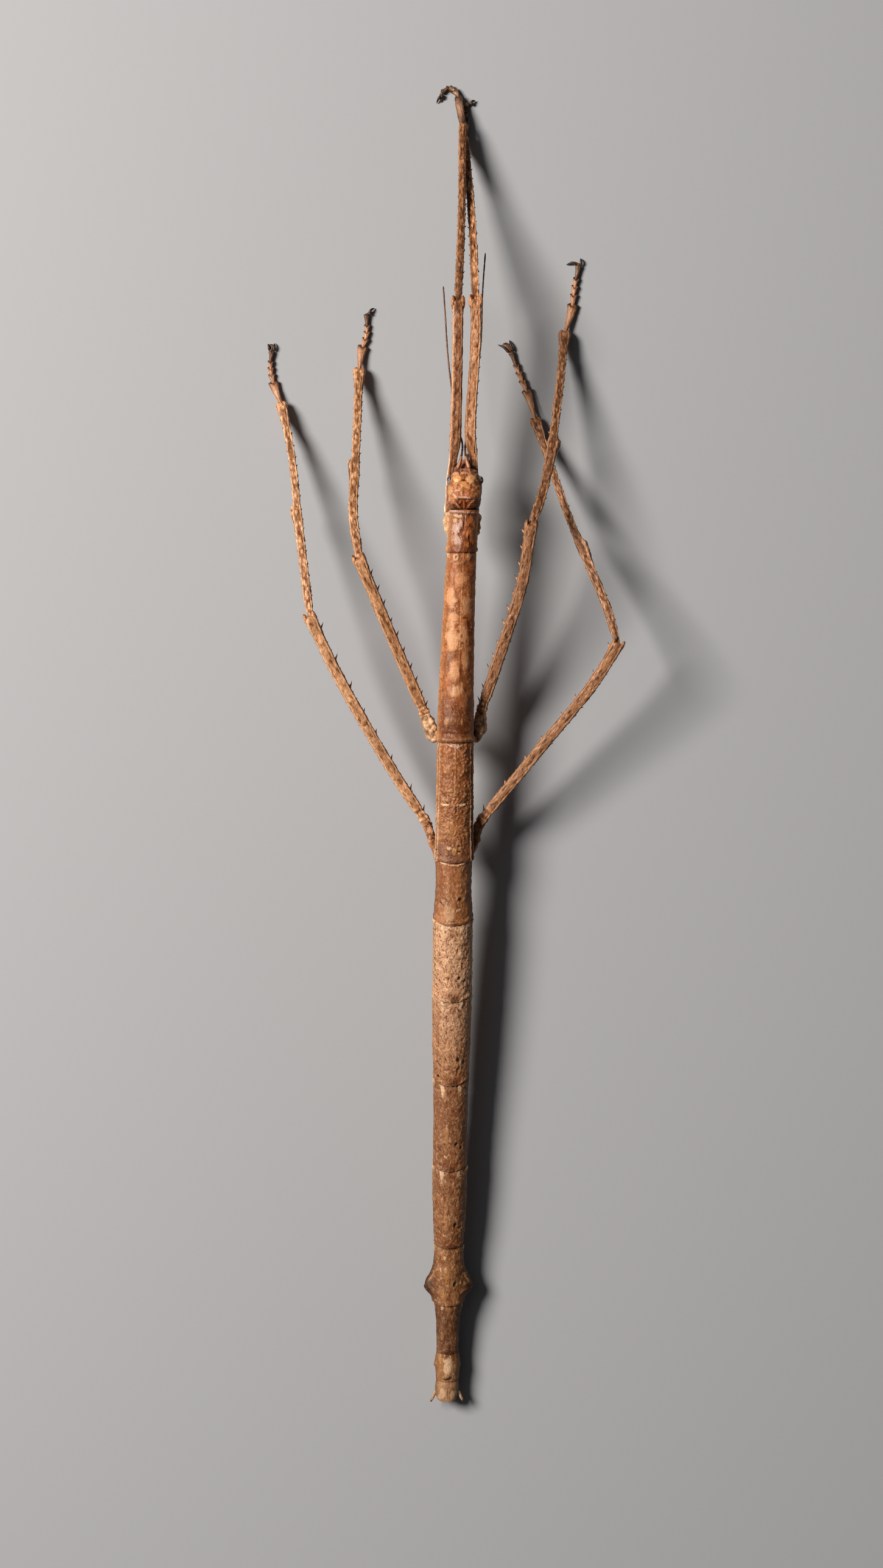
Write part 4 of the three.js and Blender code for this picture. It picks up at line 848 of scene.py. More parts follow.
FORE_TIBIA_WIDTHS = [(0, 0.8), (0.04, 0.85), (0.08, 0.98), (0.5, 0.96), (0.9, 0.96), (1, 0.92)]
COXA_WIDTHS = {
    "fore": [(0, 0.25), (0.35, 0.8), (0.7, 1.15), (0.85, 1.1), (1, 0.8)],
    "mid": [(0, 0.7), (0.4, 1.15), (0.75, 1.2), (1, 0.9)],
    "hind": [(0, 0.3), (0.25, 0.65), (0.5, 0.85), (0.8, 0.95), (1, 0.9)],
}
FORE_JOINTS, JOINTS = (0, 0.55, 0.70, 0.77, 0.82, 1), (0, 0.4, 0.54, 0.66, 0.77, 1)
FIRST_JOINT_WIDTHS = {
    FORE_JOINTS: [(0, 0.75), (0.2, 0.88), (0.6, 0.95), (0.9, 1.0), (1, 0.7)],
    JOINTS: [(0, 0.4), (0.12, 0.5), (0.5, 0.85), (0.82, 1.12), (0.95, 1.25), (1, 0.75)],
}
LEG_TINT, LEG_DARK, LEG_PALE = dye(200, 145, 106), dye(92, 50, 28), dye(246, 204, 168)
# The legs' tints are scaled leg by leg as painted light and shade: the left and the fore ones are painted
# paler, as lit, the right ones darker and browner, as shaded.
LEG_LIGHT_AND_SHADE = {
    "fore_left": (1.1, 1.0, 0.88), "fore_right": (1.42, 1.34, 1.22), "mid_left": (1.26, 1.26, 1.16),
    "mid_right": (0.68, 0.64, 0.62), "hind_left": (1.44, 1.48, 1.42), "hind_right": (0.8, 0.75, 0.7),
}
COXA_PALE = dye(232, 186, 142)
FOOT_TINTS, FOOT_PALE = (dye(104, 72, 58), dye(186, 130, 92)), dye(218, 170, 138)


def centreline(places, spacing, before=0.0, after=0.0):
    """Points, headings and reach along a smooth line through the places, straight beyond both ends."""
    knots = np.array(places, float)
    knots = np.vstack([2 * knots[0] - knots[1], knots, 2 * knots[-1] - knots[-2]])
    pieces = []
    for a, b, c, d in zip(knots, knots[1:], knots[2:], knots[3:]):
        one, two, three = (max(np.linalg.norm(q - p) ** 0.5, 1e-4) for p, q in ((a, b), (b, c), (c, d)))
        leaving = ((b - a) / one - (c - a) / (one + two) + (c - b) / two) * two
        arriving = ((c - b) / two - (d - b) / (two + three) + (d - c) / three) * two
        t = np.linspace(0, 1, 60)[:, None]
        pieces.append(b * (2 * t**3 - 3 * t**2 + 1) + c * (3 * t**2 - 2 * t**3)
                      + leaving * (t**3 - 2 * t**2 + t) + arriving * (t**3 - t**2))
    path = np.vstack([pieces[0][:1]] + [piece[1:] for piece in pieces])
    first, last = path[1] - path[0], path[-1] - path[-2]
    path = np.vstack([path[0] - first / np.linalg.norm(first) * before, path,
                      path[-1] + last / np.linalg.norm(last) * after]) if before or after else path
    steps = np.concatenate([[0], np.cumsum(np.linalg.norm(np.diff(path, axis=0), axis=1))])
    reach = crowded(steps[-1], spacing * 0.3, spacing)
    at = np.stack([np.interp(reach, steps, path[:, i]) for i in range(3)], axis=-1)
    towards = np.gradient(at, reach, axis=0)
    towards /= np.linalg.norm(towards, axis=1)[:, None]
    return at, towards, reach


def limb_sheet(line, columns, width, depth, relief, tint, worn, seed, squareness=1.0):
    """A limb's skin round its centreline, with rounded ends. width and depth are half sizes for each ring."""
    at, towards, reach = line
    angle = np.linspace(0, 2 * np.pi, columns + 1)[None, :] - np.pi / 2
    side, top = (np.sign(wave) * np.abs(wave) ** squareness for wave in (np.cos(angle), np.sin(angle)))
    right = np.cross(towards, [0, 0, 1])
    right /= np.linalg.norm(right, axis=1)[:, None]
    upward = np.cross(right, towards)
    total = reach[-1]
    cap = np.sqrt(np.clip(1 - (1 - np.clip(reach / 0.7, 0, 1)) ** 2, 0, 1))
    cap = cap * np.sqrt(np.clip(1 - (1 - np.clip((total - reach) / 0.7, 0, 1)) ** 2, 0, 1))
    spread = (width[:, None] + relief) * cap[:, None]
    rise = (depth[:, None] + relief) * cap[:, None]
    place = at[:, None] + right[:, None] * (side * spread)[..., None] + upward[:, None] * (top * rise)[..., None]
    place[..., 2] = np.maximum(place[..., 2], 0.0)
    lie = np.stack([side * spread, np.broadcast_to(reach[:, None], spread.shape), top * rise], axis=-1) + seed
    return sheet(place, {"lie": lie, "tint": np.clip(tint, 0.004, 0.95), "worn": np.full(spread.shape, worn)})


def keeled(reach, columns, width, seed, keels, lumpy):
    """Relief and tint of a keeled limb: four ridges, long shallow dents and small grains, with painted shade
    underneath.
    """
    angle = (np.linspace(0, 2 * np.pi, columns + 1) - np.pi / 2)[None, :]
    across = angle * width[:, None]
    flat = np.stack([np.cos(angle) * width[:, None], np.broadcast_to(reach[:, None], across.shape),
                     np.sin(angle) * width[:, None]], axis=-1)
    ridge = np.zeros(across.shape)
    for place in keels:
        gap = np.arctan2(np.sin(angle - place), np.cos(angle - place))
        ridge = ridge + hump(gap, 0.16)
    dents = np.clip(rough(flat, (0.55, 1.7, 0.55), seed) * 2.6 - 0.5, 0, 1)
    bosses = pebbles(flat, (0.72, 1.7, 0.72), seed + 9)
    relief = 0.15 * ridge - 0.12 - 0.12 * dents * (1 - ridge * 0.7) + 0.2 * lumpy * (bosses - 0.45)
    relief = relief + 0.09 * rough(flat, (0.9, 2.6, 0.9), seed + 3) + 0.03 * rough(flat, (0.4, 0.5, 0.4), seed + 6)
    between = np.clip((0.42 - bosses) * 3.4, 0, 1)
    amount = np.clip((0.55 * dents + 0.7 * lumpy * between) * (1 - 0.5 * ridge), 0, 0.9)[..., None]
    tint = LEG_TINT * (1 + 0.2 * rough(flat, (1.6, 5.0, 1.6), seed + 5))[..., None]
    tint = tint * (1 - amount) + LEG_DARK * amount
    pale = np.clip(0.3 * ridge + 0.85 * lumpy * np.clip(bosses * 3 - 1.9, 0, 1), 0, 1)[..., None]
    tint = tint * (1 - pale) + LEG_PALE * pale
    # the underside is darkened as painted shade
    underside_shade = np.clip(-np.sin(angle) * 0.5, 0, 1)[..., None]
    return relief, tint * (1 - 0.35 * underside_shade)


def thorn(root, out, heading, length, girth, dark=0.45):
    """One spine: a wide foot, a curved tapering stem that leans towards the foot, and a dark tip."""
    t = np.linspace(0, 1, 7)
    bent = out[None] * (t * length)[:, None] + heading[None] * (0.28 * length * t**2)[:, None]
    at = root[None] + bent - out[None] * girth * 0.5
    thick = girth * np.array([1.25, 0.82, 0.6, 0.45, 0.3, 0.16, 0.0])
    one = np.cross(out, heading)
    one /= np.linalg.norm(one)
    two = np.cross(one, out)
    angle = np.linspace(0, 2 * np.pi, 8)
    ring = one * np.cos(angle)[:, None] + two * np.sin(angle)[:, None]
    place = at[:, None] + ring[None] * thick[:, None, None]
    place = np.concatenate([np.repeat(at[:1, None], 8, axis=1), place])
    place[..., 2] = np.maximum(place[..., 2], 0.0)
    t = np.concatenate([[0], t])[:, None, None]
    tint = LEG_TINT * (1 - np.clip((t - dark) * 4, 0, 1)) + SHADES["black"] * np.clip((t - dark) * 4, 0, 1)
    tint = np.broadcast_to(tint, place.shape)
    return sheet(place, {"lie": place * 1.0, "tint": tint, "worn": np.zeros(place.shape[:2])})


def thorns(line, width, rows, dice, dark=0.45):
    """Rows of spines along a limb: each row has an angle, start, end, spacing, length, girth and lean."""
    at, towards, reach = line
    grown = []
    for turn, start, end, spacing, length, girth, lean in rows:
        place = start * reach[-1]
        while place < end * reach[-1]:
            where = [np.interp(place, reach, at[:, i]) for i in range(3)]
            heading = np.array([np.interp(place, reach, towards[:, i]) for i in range(3)])
            heading /= np.linalg.norm(heading)
            right = np.cross(heading, [0, 0, 1])
            right /= np.linalg.norm(right)
            upward = np.cross(right, heading)
            half = np.interp(place, reach, width)
            out = right * math.cos(turn) + upward * math.sin(turn)
            root = np.array(where) + out * half * 0.93
            pointing = out + heading * lean
            pointing /= np.linalg.norm(pointing)
            size = dice.uniform(0.7, 1.25)
            grown.append(thorn(root, pointing, heading, length * size, girth * (0.8 + 0.2 * size), dark))
            place += spacing * dice.uniform(0.75, 1.3)
    return grown


def lobe(middle, heading, out, long, thick, tall, shade):
    """A rounded lobe of cuticle with dark ends, given its half sizes along, away from and above the limb."""
    t = np.linspace(0, np.pi, 16)[:, None]
    turn = np.linspace(0, 2 * np.pi, 21)[None, :]
    upward = np.cross(out, heading)
    place = (middle + heading * (-np.cos(t) * long)[..., None] + out * (np.sin(t) * np.cos(turn) * thick)[..., None]
             + upward * (np.sin(t) * np.sin(turn) * tall)[..., None])
    place = place + (0.13 * rough(place, (0.55, 0.55, 0.55), 21.0))[..., None] * np.sin(t)[..., None]
    worn = np.clip(0.8 * rough(place, (0.6, 0.6, 0.6), 23.0) + np.sin(t) * 1.3 - 0.35, 0, 1)[..., None]
    tint = LEG_DARK + (LEG_TINT - LEG_DARK) * worn
    # shade is the leg's painted light and shade
    return sheet(place, {"lie": place * 1.0, "tint": np.clip(tint * shade, 0.004, 0.95),
                         "worn": np.full(place.shape[:2], 0.3)})


def joint_lobes(line, back, apart, ahead, long, thick, tall, shade):
    """The pair of lobes at a limb's end that hold the next piece between them."""
    heading = line[1][-1]
    right = np.cross(heading, [0, 0, 1])
    right /= np.linalg.norm(right)
    knee = line[0][-1] + heading * (ahead - back)
    return [lobe(knee + right * hand * apart, heading, right, long, thick, tall, shade) for hand in (-1, 1)]


def foot_sheet(places, half, columns, seed, shares, foot_tint):
    """The foot: five joints, each flaring to two forward corners that clasp the next, flat on the ground."""
    line = centreline(places, 0.13, before=0.5)
    reach = (line[2] - 0.5)[:, None]
    angle = (np.linspace(0, 2 * np.pi, columns + 1) - np.pi / 2)[None, :]
    side, top = np.cos(angle), np.sin(angle)
    t = np.clip(reach / reach.max() - 0.05 * side**2, 0, 0.9999)
    joint = np.clip(np.searchsorted(shares, t, side="right") - 1, 0, 4)
    start, end = np.array(shares)[joint], np.array(shares)[joint + 1]
    within = (t - start) / (end - start)
    last = joint == 4
    flare = flow(within, [(0, 0.5), (0.15, 0.58), (0.6, 0.8), (0.88, 1.0), (0.96, 0.95), (1, 0.6)])
    flare = flare * (0.95 - 0.06 * joint)
    flare = np.where(joint == 0, flow(within, FIRST_JOINT_WIDTHS[shares]), flare)
    flare = np.where(last, flow(within, [(0, 0.42), (0.3, 0.46), (0.7, 0.78), (0.93, 1.1), (1, 0.8)]), flare)
    flat = np.stack(np.broadcast_arrays(side * half, reach, top * half), axis=-1)
    ridge = hump(np.arctan2(np.cos(angle), np.sin(angle)), 0.35) * (joint == 0)
    relief = half * (flare - 0.55) * (0.25 + 0.75 * side**2) + 0.1 * ridge + 0.05 * rough(flat, (0.5, 0.9, 0.5), seed)
    mottle = 1 + 0.35 * rough(flat, (0.7, 1.2, 0.7), seed + 2)[..., None]
    tint = foot_tint * mottle
    dark = np.clip(0.9 * hump(within - 1, 0.1) + 0.7 * hump(within, 0.1) * (joint > 0) + last * (0.55 + within), 0, 1)
    # the dark along both side edges of the foot is painted shade
    dark = np.clip(dark + 0.5 * hump(np.abs(side) - 1, 0.14), 0, 1)[..., None]
    tint = tint * (1 - dark) + dye(54, 34, 30) * dark
    pale = np.clip(0.6 * hump(within - 0.55, 0.25) * np.clip(top, 0, 1) * (1 - 0.6 * last), 0, 1)[..., None]
    tint = tint * (1 - pale) + FOOT_PALE * pale
    width = np.full(len(reach), half * 0.55)
    return limb_sheet(line, columns, width, np.full(len(reach), 0.58), relief, tint, 0.3, seed)


leg_finish = cuticle("leg_cuticle", worms=0.5, specks=0.25, mottle=0.2, gloss=0.42, lift=0.6, grain=0.5)
claw_finish = bpy.data.materials.new("claw_horn")
claw_finish.use_nodes = True


def leg(name, seed):
    pair = name.split("_")[0]
    # shade is this leg's painted light and shade, a scale on the thigh, shin and lobe tints
    shade = np.array(LEG_LIGHT_AND_SHADE[name])
    # a leg points ahead, so the inner side of a left leg is at its right hand
    inward = 0.0 if name.endswith("left") else math.pi
    outward = math.pi - inward
    half = PAIRS[pair]
    dice = random.Random(name)
    stance = STANCE[name]
    sheets = []

    line = centreline(stance["coxa"], 0.2, after=0.3)
    width = half["femur"] * flow(line[2] / line[2][-1], COXA_WIDTHS[pair])
    turn = (np.linspace(0, 2 * np.pi, 65) - np.pi / 2)[None, :]
    flat = np.stack(np.broadcast_arrays(np.cos(turn) * width[:, None], line[2][:, None],
                                        np.sin(turn) * width[:, None]), axis=-1)
    bulge = rough(flat, (1.7, 1.9, 1.7), seed)
    facets = pebbles(flat, (1.9, 2.3, 1.9), seed + 2)
    folds = np.clip(1 - 5 * np.abs(rough(flat, (1.0, 0.7, 1.0), seed + 8)), 0, 1)
    relief = 0.24 * bulge + 0.7 * facets - 0.25 - 0.2 * folds + 0.04 * rough(flat, (0.35, 0.35, 0.35), seed + 4)
    lit = np.clip((0.85 if pair == "fore" else 0.55) + 0.5 * bulge + 0.7 * facets - 0.6 * folds, 0, 1)[..., None]
    tint = LEG_DARK * (1 - lit) + (COXA_PALE if pair != "hind" else LEG_TINT) * lit
    sheets.append(limb_sheet(line, 64, width, width * 0.95, relief, tint, 0.3, seed, 0.85))

    line = centreline(stance["femur"], 0.27, before=0.4, after=0.5)
    t = line[2] / line[2][-1]
    width = half["femur"] * flow(t, FORE_FEMUR_WIDTHS if pair == "fore" else FEMUR_WIDTHS)
    relief, tint = keeled(line[2], 64, width, seed + 1, (0.85, math.pi - 0.85, -0.8, -math.pi + 0.8), 0.45)
    folds = (np.sin(t * 260) * (t > 0.02) * (t < 0.085))[:, None] * (pair != "fore")
    relief = relief + 0.1 * folds
    tint = tint * (1 + 0.4 * folds)[..., None]
    if pair == "fore":
        turn = (np.linspace(0, 2 * np.pi, 65) - np.pi / 2)[None, :]
        thin = np.clip((0.36 - t) * 8, 0, 1)[:, None]
        facing = np.cos(turn - outward)
        # the pale line down the outer side near the base is partly a painted highlight; the dark band down the inner
        # side is painted shade, strongest near the base where the thigh curves round the head
        pale = (thin * np.clip((facing - 0.62) * 6, 0, 1))[..., None]
        tint = tint * (1 - pale) + dye(252, 220, 196) * pale
        dark = ((0.45 + 0.55 * thin) * np.clip(-facing * 4 - 0.3, 0, 1))[..., None]
        tint = tint * (1 - dark) + dye(66, 32, 20) * dark
        # a saw-edged dark streak along the upper side of the left one, paler cuticle outside it
        saw = 0.16 * (line[2] / 2.6 % 1.0)[:, None]
        streak = (0.85 * hump(facing - 0.1 - saw, 0.24) * (name == "fore_left"))[..., None]
        tint = tint * (1 - streak) + dye(84, 42, 28) * streak
        pale = (0.5 * np.clip((facing - 0.42 - saw) * 5, 0, 1) * np.clip((t[:, None] - 0.3) * 5, 0, 1))[..., None]
        tint = tint * (1 - pale) + dye(232, 190, 162) * pale
    tint = tint * shade
    sheets.append(limb_sheet(line, 64, width, width * 0.95, relief, tint, 0.7, seed, 0.7))
    if pair == "fore":
        rows = [
            (outward, 0.3, 0.97, 3.2, 0.55, 0.2, 0.9),
            (0.85, 0.34, 0.97, 3.4, 0.4, 0.17, 2.2),
            (math.pi - 0.85, 0.34, 0.97, 3.6, 0.4, 0.17, 2.2),
            (-0.7, 0.4, 0.97, 4.0, 0.7, 0.22, 0.8),
            (-math.pi + 0.7, 0.4, 0.97, 4.2, 0.7, 0.22, 0.8),
        ]
    else:
        rows = [
            (inward - 0.3 * math.cos(inward), 0.06, 0.97, 4.4 if pair == "mid" else 8.0, 1.45, 0.4, 0.55),
            (inward - 0.2 * math.cos(inward), 0.1, 0.97, 2.7, 0.4, 0.22, 0.9),
            (outward + 0.3 * math.cos(inward), 0.1, 0.97, 2.5, 0.55, 0.24, 0.9),
            (0.85, 0.1, 0.96, 2.6, 0.4, 0.19, 2.0),
            (math.pi - 0.85, 0.1, 0.96, 2.4, 0.4, 0.19, 2.0),
            (-0.9, 0.12, 0.96, 5.0, 1.1, 0.28, 0.6),
            (-math.pi + 0.9, 0.12, 0.96, 5.0, 1.0, 0.28, 0.6),
        ]
    sheets += thorns(line, width, rows, dice)
    size = half["femur"]
    sheets += joint_lobes(line, 0.8, 0.8 * size, 0.1 * size, 1.15 * size, 0.38 * size, 0.85 * size, shade)

    line = centreline(stance["tibia"], 0.27, before=0.2, after=0.3)
    t = line[2] / line[2][-1]
    width = half["tibia"] * flow(t, FORE_TIBIA_WIDTHS if pair == "fore" else TIBIA_WIDTHS)
    relief, tint = keeled(line[2], 56, width, seed + 2, (0.8, math.pi - 0.8, -0.8, -math.pi + 0.8), 1.0)
    turn = (np.linspace(0, 2 * np.pi, 57) - np.pi / 2)[None, :]
    if pair == "fore":
        # the fore shins' inner sides are painted dark as shade, and the whole left fore shin is darkened as painted
        # shade
        dark = (0.7 * np.clip(-np.cos(turn - outward) * 3 - 0.2, 0, 1))[..., None]
        tint = (tint * (1 - dark) + dye(66, 32, 20) * dark) * (0.66 if name == "fore_left" else 1.0)
    else:
        leaf = flow(t - LEAF_PLACES[name.split("_")[1]], LEAF_SHAPE)[:, None]
        relief = relief + leaf * np.clip(np.cos(turn - outward), 0, 1) ** 3
    sheets.append(limb_sheet(line, 56, width, width * 0.95, relief, tint * shade, 0.6, seed, 0.7))
    rows = [
        (inward, 0.1, 0.92, 3.2, 0.5, 0.21, 0.9),
        (outward, 0.1, 0.92, 3.6, 0.4, 0.2, 1.1),
        (0.8, 0.08, 0.9, 4.2, 0.4, 0.16, 2.0),
        (math.pi - 0.8, 0.08, 0.9, 4.4, 0.4, 0.16, 2.0),
        (-1.2, 0.2, 0.96, 4.6, 0.6, 0.2, 0.9),
    ]
    sheets += thorns(line, width, rows, dice, 0.7)

    if pair == "fore":
        sheets += joint_lobes(line, 0.9, 0.62, 0.1, 0.9, 0.45, 0.9, shade)
    else:
        size = half["tibia"]
        sheets += joint_lobes(line, 1.0, 0.74 * size, 0.1, 1.2 * size, 0.68 * size, 0.85 * size, shade)
    shares = FORE_JOINTS if pair == "fore" else JOINTS
    foot_tint = FOOT_TINTS[0 if pair == "fore" else 1]
    sheets.append(foot_sheet(stance["tarsus"], half["tarsus"], 44, seed + 3, shares, foot_tint))
    nodes = [f"{part}_{name}" for part in ("coxa", "femur", "tibia", "tarsus")]
    skin(f"leg_{name}", sheets, leg_finish, nodes)


for count, name in enumerate(STANCE):
    leg(name, 11.0 + 6.3 * count)

# ---- Mouth ----
# Under the brow hang the upper lip, two dark biting jaws, and two pairs of short jointed palps.

LIP_TINT, JAW_TINT = dye(150, 100, 76), dye(58, 34, 24)


def simple_limb(places, keys, depth_share, tint, tip_tint, seed, spacing=0.12, columns=22, ripple=0.0):
    """A small smooth limb: girth keys along it, a tint that fades to another at the tip, optional joints."""
    line = centreline(places, spacing)
    t = line[2] / line[2][-1]
    width = flow(t, keys)
    joints = (np.sin(t * np.pi * ripple) ** 8)[:, None] if ripple else np.zeros((len(t), 1))
    relief = np.zeros((len(t), columns + 1)) - 0.1 * joints * width[:, None]
    fade = np.clip((t - 0.55) * 2.2, 0, 1)[:, None, None]
    shade = (1 - 0.5 * joints)[..., None] * np.ones((len(t), columns + 1, 3))
    colour = (tint * (1 - fade) + tip_tint * fade) * shade
    return limb_sheet(line, columns, width, width * depth_share, relief, colour, 0.1, seed)


mouth_sheets = [
    simple_limb([(-5.95, -73.2, 20.6), (-5.9, -74.9, 19.6), (-5.8, -76.2, 18.2), (-5.75, -76.9, 16.9)],
                [(0, 1.5), (0.4, 1.55), (0.55, 1.25), (0.8, 1.2), (1, 0.8)], 0.36, LIP_TINT, dye(186, 140, 112), 61.0,
                columns=40),
    simple_limb([(-5.85, -70.5, 17.6), (-5.8, -73.0, 16.6), (-5.75, -75.2, 16.0), (-5.7, -76.6, 15.6)],
                [(0, 2.4), (0.5, 2.45), (0.8, 2.0), (1, 1.1)], 0.45, dye(128, 78, 54), dye(100, 60, 42), 62.0),
]
for hand in (-1, 1):
    mouth_sheets.append(simple_limb(
        [(-5.8 + hand * 1.9, -71.8, 18.6), (-5.8 + hand * 1.95, -74.2, 17.9), (-5.8 + hand * 1.2, -76.0, 16.9),
         (-5.8 + hand * 0.25, -76.7, 16.3)],
        [(0, 0.9), (0.4, 0.95), (0.75, 0.6), (1, 0.22)], 0.75, dye(128, 80, 56), JAW_TINT, 63.0 + hand, columns=26))
    mouth_sheets.append(simple_limb(
        [(-5.8 + hand * 1.5, -72.6, 16.2), (-5.8 + hand * 1.7, -75.0, 15.6), (-5.8 + hand * 1.05, -77.2, 16.4),
         (-5.8 + hand * 0.75, -78.6, 17.2)],
        [(0, 0.34), (0.3, 0.32), (0.6, 0.3), (0.9, 0.33), (1, 0.24)], 1.0, dye(170, 124, 98), dye(200, 160, 132),
        65.0 + hand, ripple=4))
    mouth_sheets.append(simple_limb(
        [(-5.8 + hand * 0.7, -73.0, 15.2), (-5.8 + hand * 1.0, -75.2, 14.4), (-5.8 + hand * 0.8, -76.9, 14.6)],
        [(0, 0.3), (0.5, 0.28), (0.9, 0.3), (1, 0.2)], 1.0, dye(160, 116, 90), dye(190, 150, 122), 67.0 + hand,
        ripple=3))
skin("mouth", mouth_sheets, head_finish, ["mouthparts"])

# ---- Feelers ----
# Two long threads of many short joints on a stout first joint, brown with paler bands.

FEELERS = {
    "left": [(-3.9, -73.9, 21.9), (-4.7, -76.4, 21.0), (-5.1, -78.6, 19.2), (-5.2, -81.4, 16.8),
             (-4.0, -86.2, 16.3), (-1.5, -103.0, 16.2), (-0.5, -117.5, 14.5), (0.0, -125.3, 13.0)],
    "right": [(-7.1, -73.9, 21.9), (-6.3, -76.4, 21.0), (-6.0, -78.6, 19.2), (-6.1, -81.4, 16.8),
              (-7.2, -86.2, 16.3), (-10.2, -108.0, 15.8), (-10.8, -123.4, 14.2), (-11.6, -134.6, 12.6)],
}


def feeler_sheet(places, seed):
    line = centreline(places, 0.16)
    reach = line[2]
    total = reach[-1]
    stem = flow(reach, [(0, 0.55), (0.5, 0.62), (2.0, 0.55), (2.5, 0.38), (2.8, 0.42), (3.6, 0.38),
                         (4.0, 0.3), (total, 0.22)])
    joint_length = 1.3 + 1.2 * np.clip(reach / 20, 0, 1)
    phase = np.cumsum(np.gradient(reach) / joint_length)
    pinch = np.abs(np.cos(np.pi * phase)) ** 12 * (reach > 3.8)
    width = stem * (1 - 0.22 * pinch)
    band = (np.sin(2 * np.pi * phase / 5) > 0.2)[:, None, None]
    tint = np.where(band, dye(128, 86, 58), dye(96, 60, 40)) * (1 - 0.4 * pinch)[:, None, None]
    tint = np.broadcast_to(tint, (len(reach), 15, 3)).copy()
    turn = np.linspace(0, 2 * np.pi, 15)[None, :] - np.pi / 2
    # a pale streak along the top of the first joints is a painted highlight
    streak = (0.85 * hump(turn - np.pi / 2 - 0.2, 0.3) * np.ones((len(reach), 1)))[..., None]
    root = (reach < 3.8)[:, None, None]
    tint = np.where(root, dye(150, 92, 60) * (1 - streak) + dye(236, 192, 164) * streak, tint)
    return limb_sheet(line, 14, width, width * 0.9, np.zeros((len(reach), 15)), tint, 0.1, seed)


for side_name, places in FEELERS.items():
    skin(f"feeler_{side_name}", [feeler_sheet(places, 71.0)], head_finish, [f"antenna_{side_name}"])

# ---- Claws ----
# Each foot ends in two hooked claws of dark horn with a soft rounded pad between them.

claw_nodes, claw_links = claw_finish.node_tree.nodes, claw_finish.node_tree.links
claw_shader = claw_nodes["Principled BSDF"]
claw_shader.inputs["Roughness"].default_value = 0.5
claw_tint = claw_nodes.new("ShaderNodeAttribute")
claw_tint.attribute_name = "tint"
claw_links.new(claw_tint.outputs["Color"], claw_shader.inputs["Base Color"])
HORN, HORN_ROOT, PAD_TINT = dye(34, 24, 20), dye(84, 56, 42), dye(112, 74, 54)
PAD_LONG, PAD_WIDE, PAD_TALL = 0.45, 0.62, 0.4


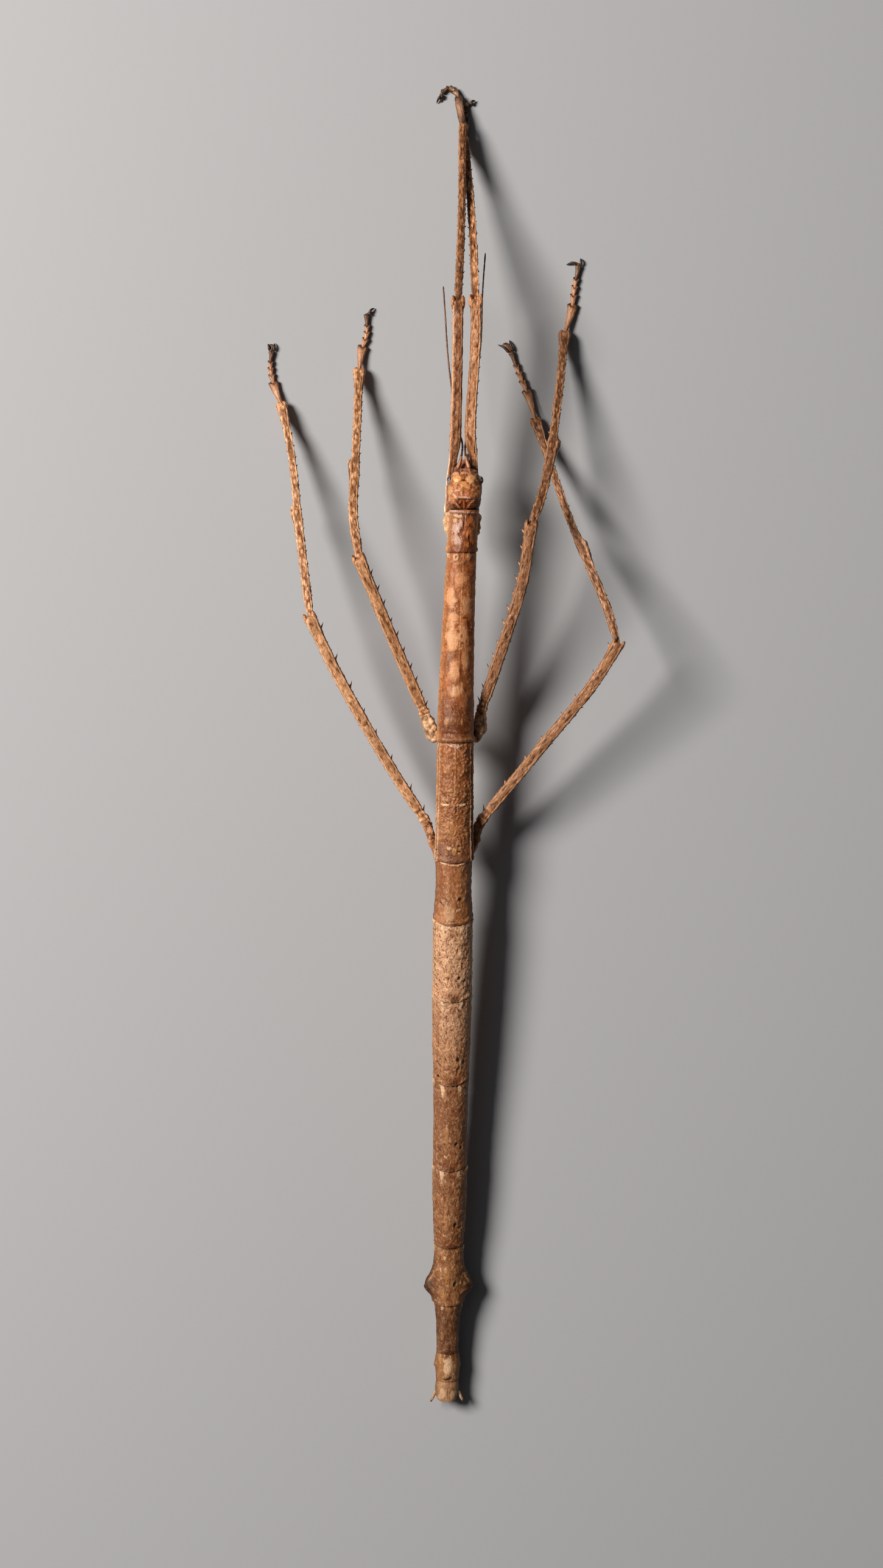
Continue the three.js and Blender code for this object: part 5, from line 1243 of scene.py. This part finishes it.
def claws(name):
    stance = STANCE[name]
    end, before = (np.array(stance["tarsus"][i]) for i in (-1, -2))
    heading = (end - before) / np.linalg.norm(end - before)
    between = np.mean(stance["claws"], axis=0) - end
    spread = np.linalg.norm(np.subtract(*stance["claws"])) * PAD_WIDE / 2 + 0.25
    centre = end + between * PAD_LONG
    turn = np.linspace(0, 2 * np.pi, 19)[None, :]
    t = np.linspace(0, np.pi, 14)[:, None]
    right = np.cross(heading, [0, 0, 1])
    right /= np.linalg.norm(right)
    upward = np.cross(right, heading)
    fan = np.sin(t) * (0.72 - 0.28 * np.cos(t))
    pad = (centre + between * (-np.cos(t) * PAD_LONG)[..., None]
           + right * (fan * np.cos(turn) * spread)[..., None]
           + upward * (fan * np.sin(turn) * PAD_TALL)[..., None])
    pad_tint = PAD_TINT * (1 - 0.75 * np.clip(-np.cos(t) * 1.6 - 0.5, 0, 1) + 0.4 * rough(pad, (0.5, 0.5, 0.5), 85.0))[..., None]
    pad = pad + (0.09 * rough(pad, (0.35, 0.35, 0.35), 83.0))[..., None]
    pad[..., 2] = np.maximum(pad[..., 2], 0.0)
    sheets = [sheet(pad, {"lie": pad * 1.0, "tint": np.clip(pad_tint, 0.004, 0.95), "worn": np.zeros(pad.shape[:2])})]
    for tip in stance["claws"]:
        tip = np.array(tip)
        beside = np.sign(np.dot(tip - centre, right)) or 1.0
        root = end + right * beside * 0.62 - heading * 0.15 + np.array([0, 0, 0.1])
        sag = tip - root
        bulge = root + 0.55 * sag + 0.28 * np.linalg.norm(sag) * (heading - sag / np.linalg.norm(sag)) * 0.6
        places = [tuple(root), tuple(bulge + np.array([0, 0, 0.35])), tuple(tip + np.array([0, 0, -0.1]))]
        line = centreline(places, 0.09)
        width = flow(line[2] / line[2][-1], [(0, 0.4), (0.3, 0.38), (0.7, 0.27), (1, 0.05)])
        fade = np.clip(line[2] / line[2][-1] * 2.2, 0, 1)[:, None, None] * np.ones((len(width), 17, 3))
        tint = HORN_ROOT * (1 - fade) + HORN * fade
        sheets.append(limb_sheet(line, 16, width, width, np.zeros((len(width), 17)), tint, 0.0, 81.0))
    skin(f"hooks_{name}", sheets, claw_finish, [f"claws_{name}"])


for name in STANCE:
    claws(name)

# ---- Floor, lights and camera ----
# A plain pale studio floor, one broad soft lamp from the insect's left and a weak, broader one higher up on the same
# side.

floor_mesh = bpy.data.meshes.new("studio_floor")
bm = bmesh.new()
bmesh.ops.create_grid(bm, x_segments=1, y_segments=1, size=6.0)
bm.to_mesh(floor_mesh)
bm.free()
floor = bpy.data.objects.new("studio_floor", floor_mesh)
bpy.context.scene.collection.objects.link(floor)
floor_paint = bpy.data.materials.new("floor_paint")
floor_paint.use_nodes = True
floor_paint.node_tree.nodes["Principled BSDF"].inputs["Base Color"].default_value = (0.41, 0.405, 0.41, 1)
floor_paint.node_tree.nodes["Principled BSDF"].inputs["Roughness"].default_value = 0.9
floor_mesh.materials.append(floor_paint)

world = bpy.data.worlds.new("studio_air")
world.use_nodes = True
world.node_tree.nodes["Background"].inputs["Color"].default_value = (0.8, 0.84, 0.9, 1)
world.node_tree.nodes["Background"].inputs["Strength"].default_value = 0.045
bpy.context.scene.world = world


def lamp(name, place, size, power, colour):
    light = bpy.data.lights.new(name, "AREA")
    light.shape = "DISK"
    light.size = size
    light.energy = power
    light.color = colour
    holder = bpy.data.objects.new(name, light)
    bpy.context.scene.collection.objects.link(holder)
    holder.location = place
    holder.rotation_euler = (-Vector(place)).to_track_quat("-Z", "Y").to_euler()


lamp("key", (0.82, -0.34, 0.88), 0.5, 23.5, (1.0, 0.975, 0.94))
lamp("fill", (0.6, -0.3, 1.2), 0.9, 0.5, (0.9, 0.95, 1.0))

EYE_HEIGHT = 0.735
LENS_MM = 60.1
camera = bpy.data.objects.new("camera", bpy.data.cameras.new("camera"))
bpy.context.scene.collection.objects.link(camera)
camera.data.lens = LENS_MM
camera.data.sensor_width = 36
camera.data.clip_start = 0.01
camera.location = (0.0005, 0.012, EYE_HEIGHT)
camera.rotation_euler = (0, 0, math.pi)
bpy.context.scene.camera = camera
bpy.context.scene.view_settings.view_transform = "Standard"
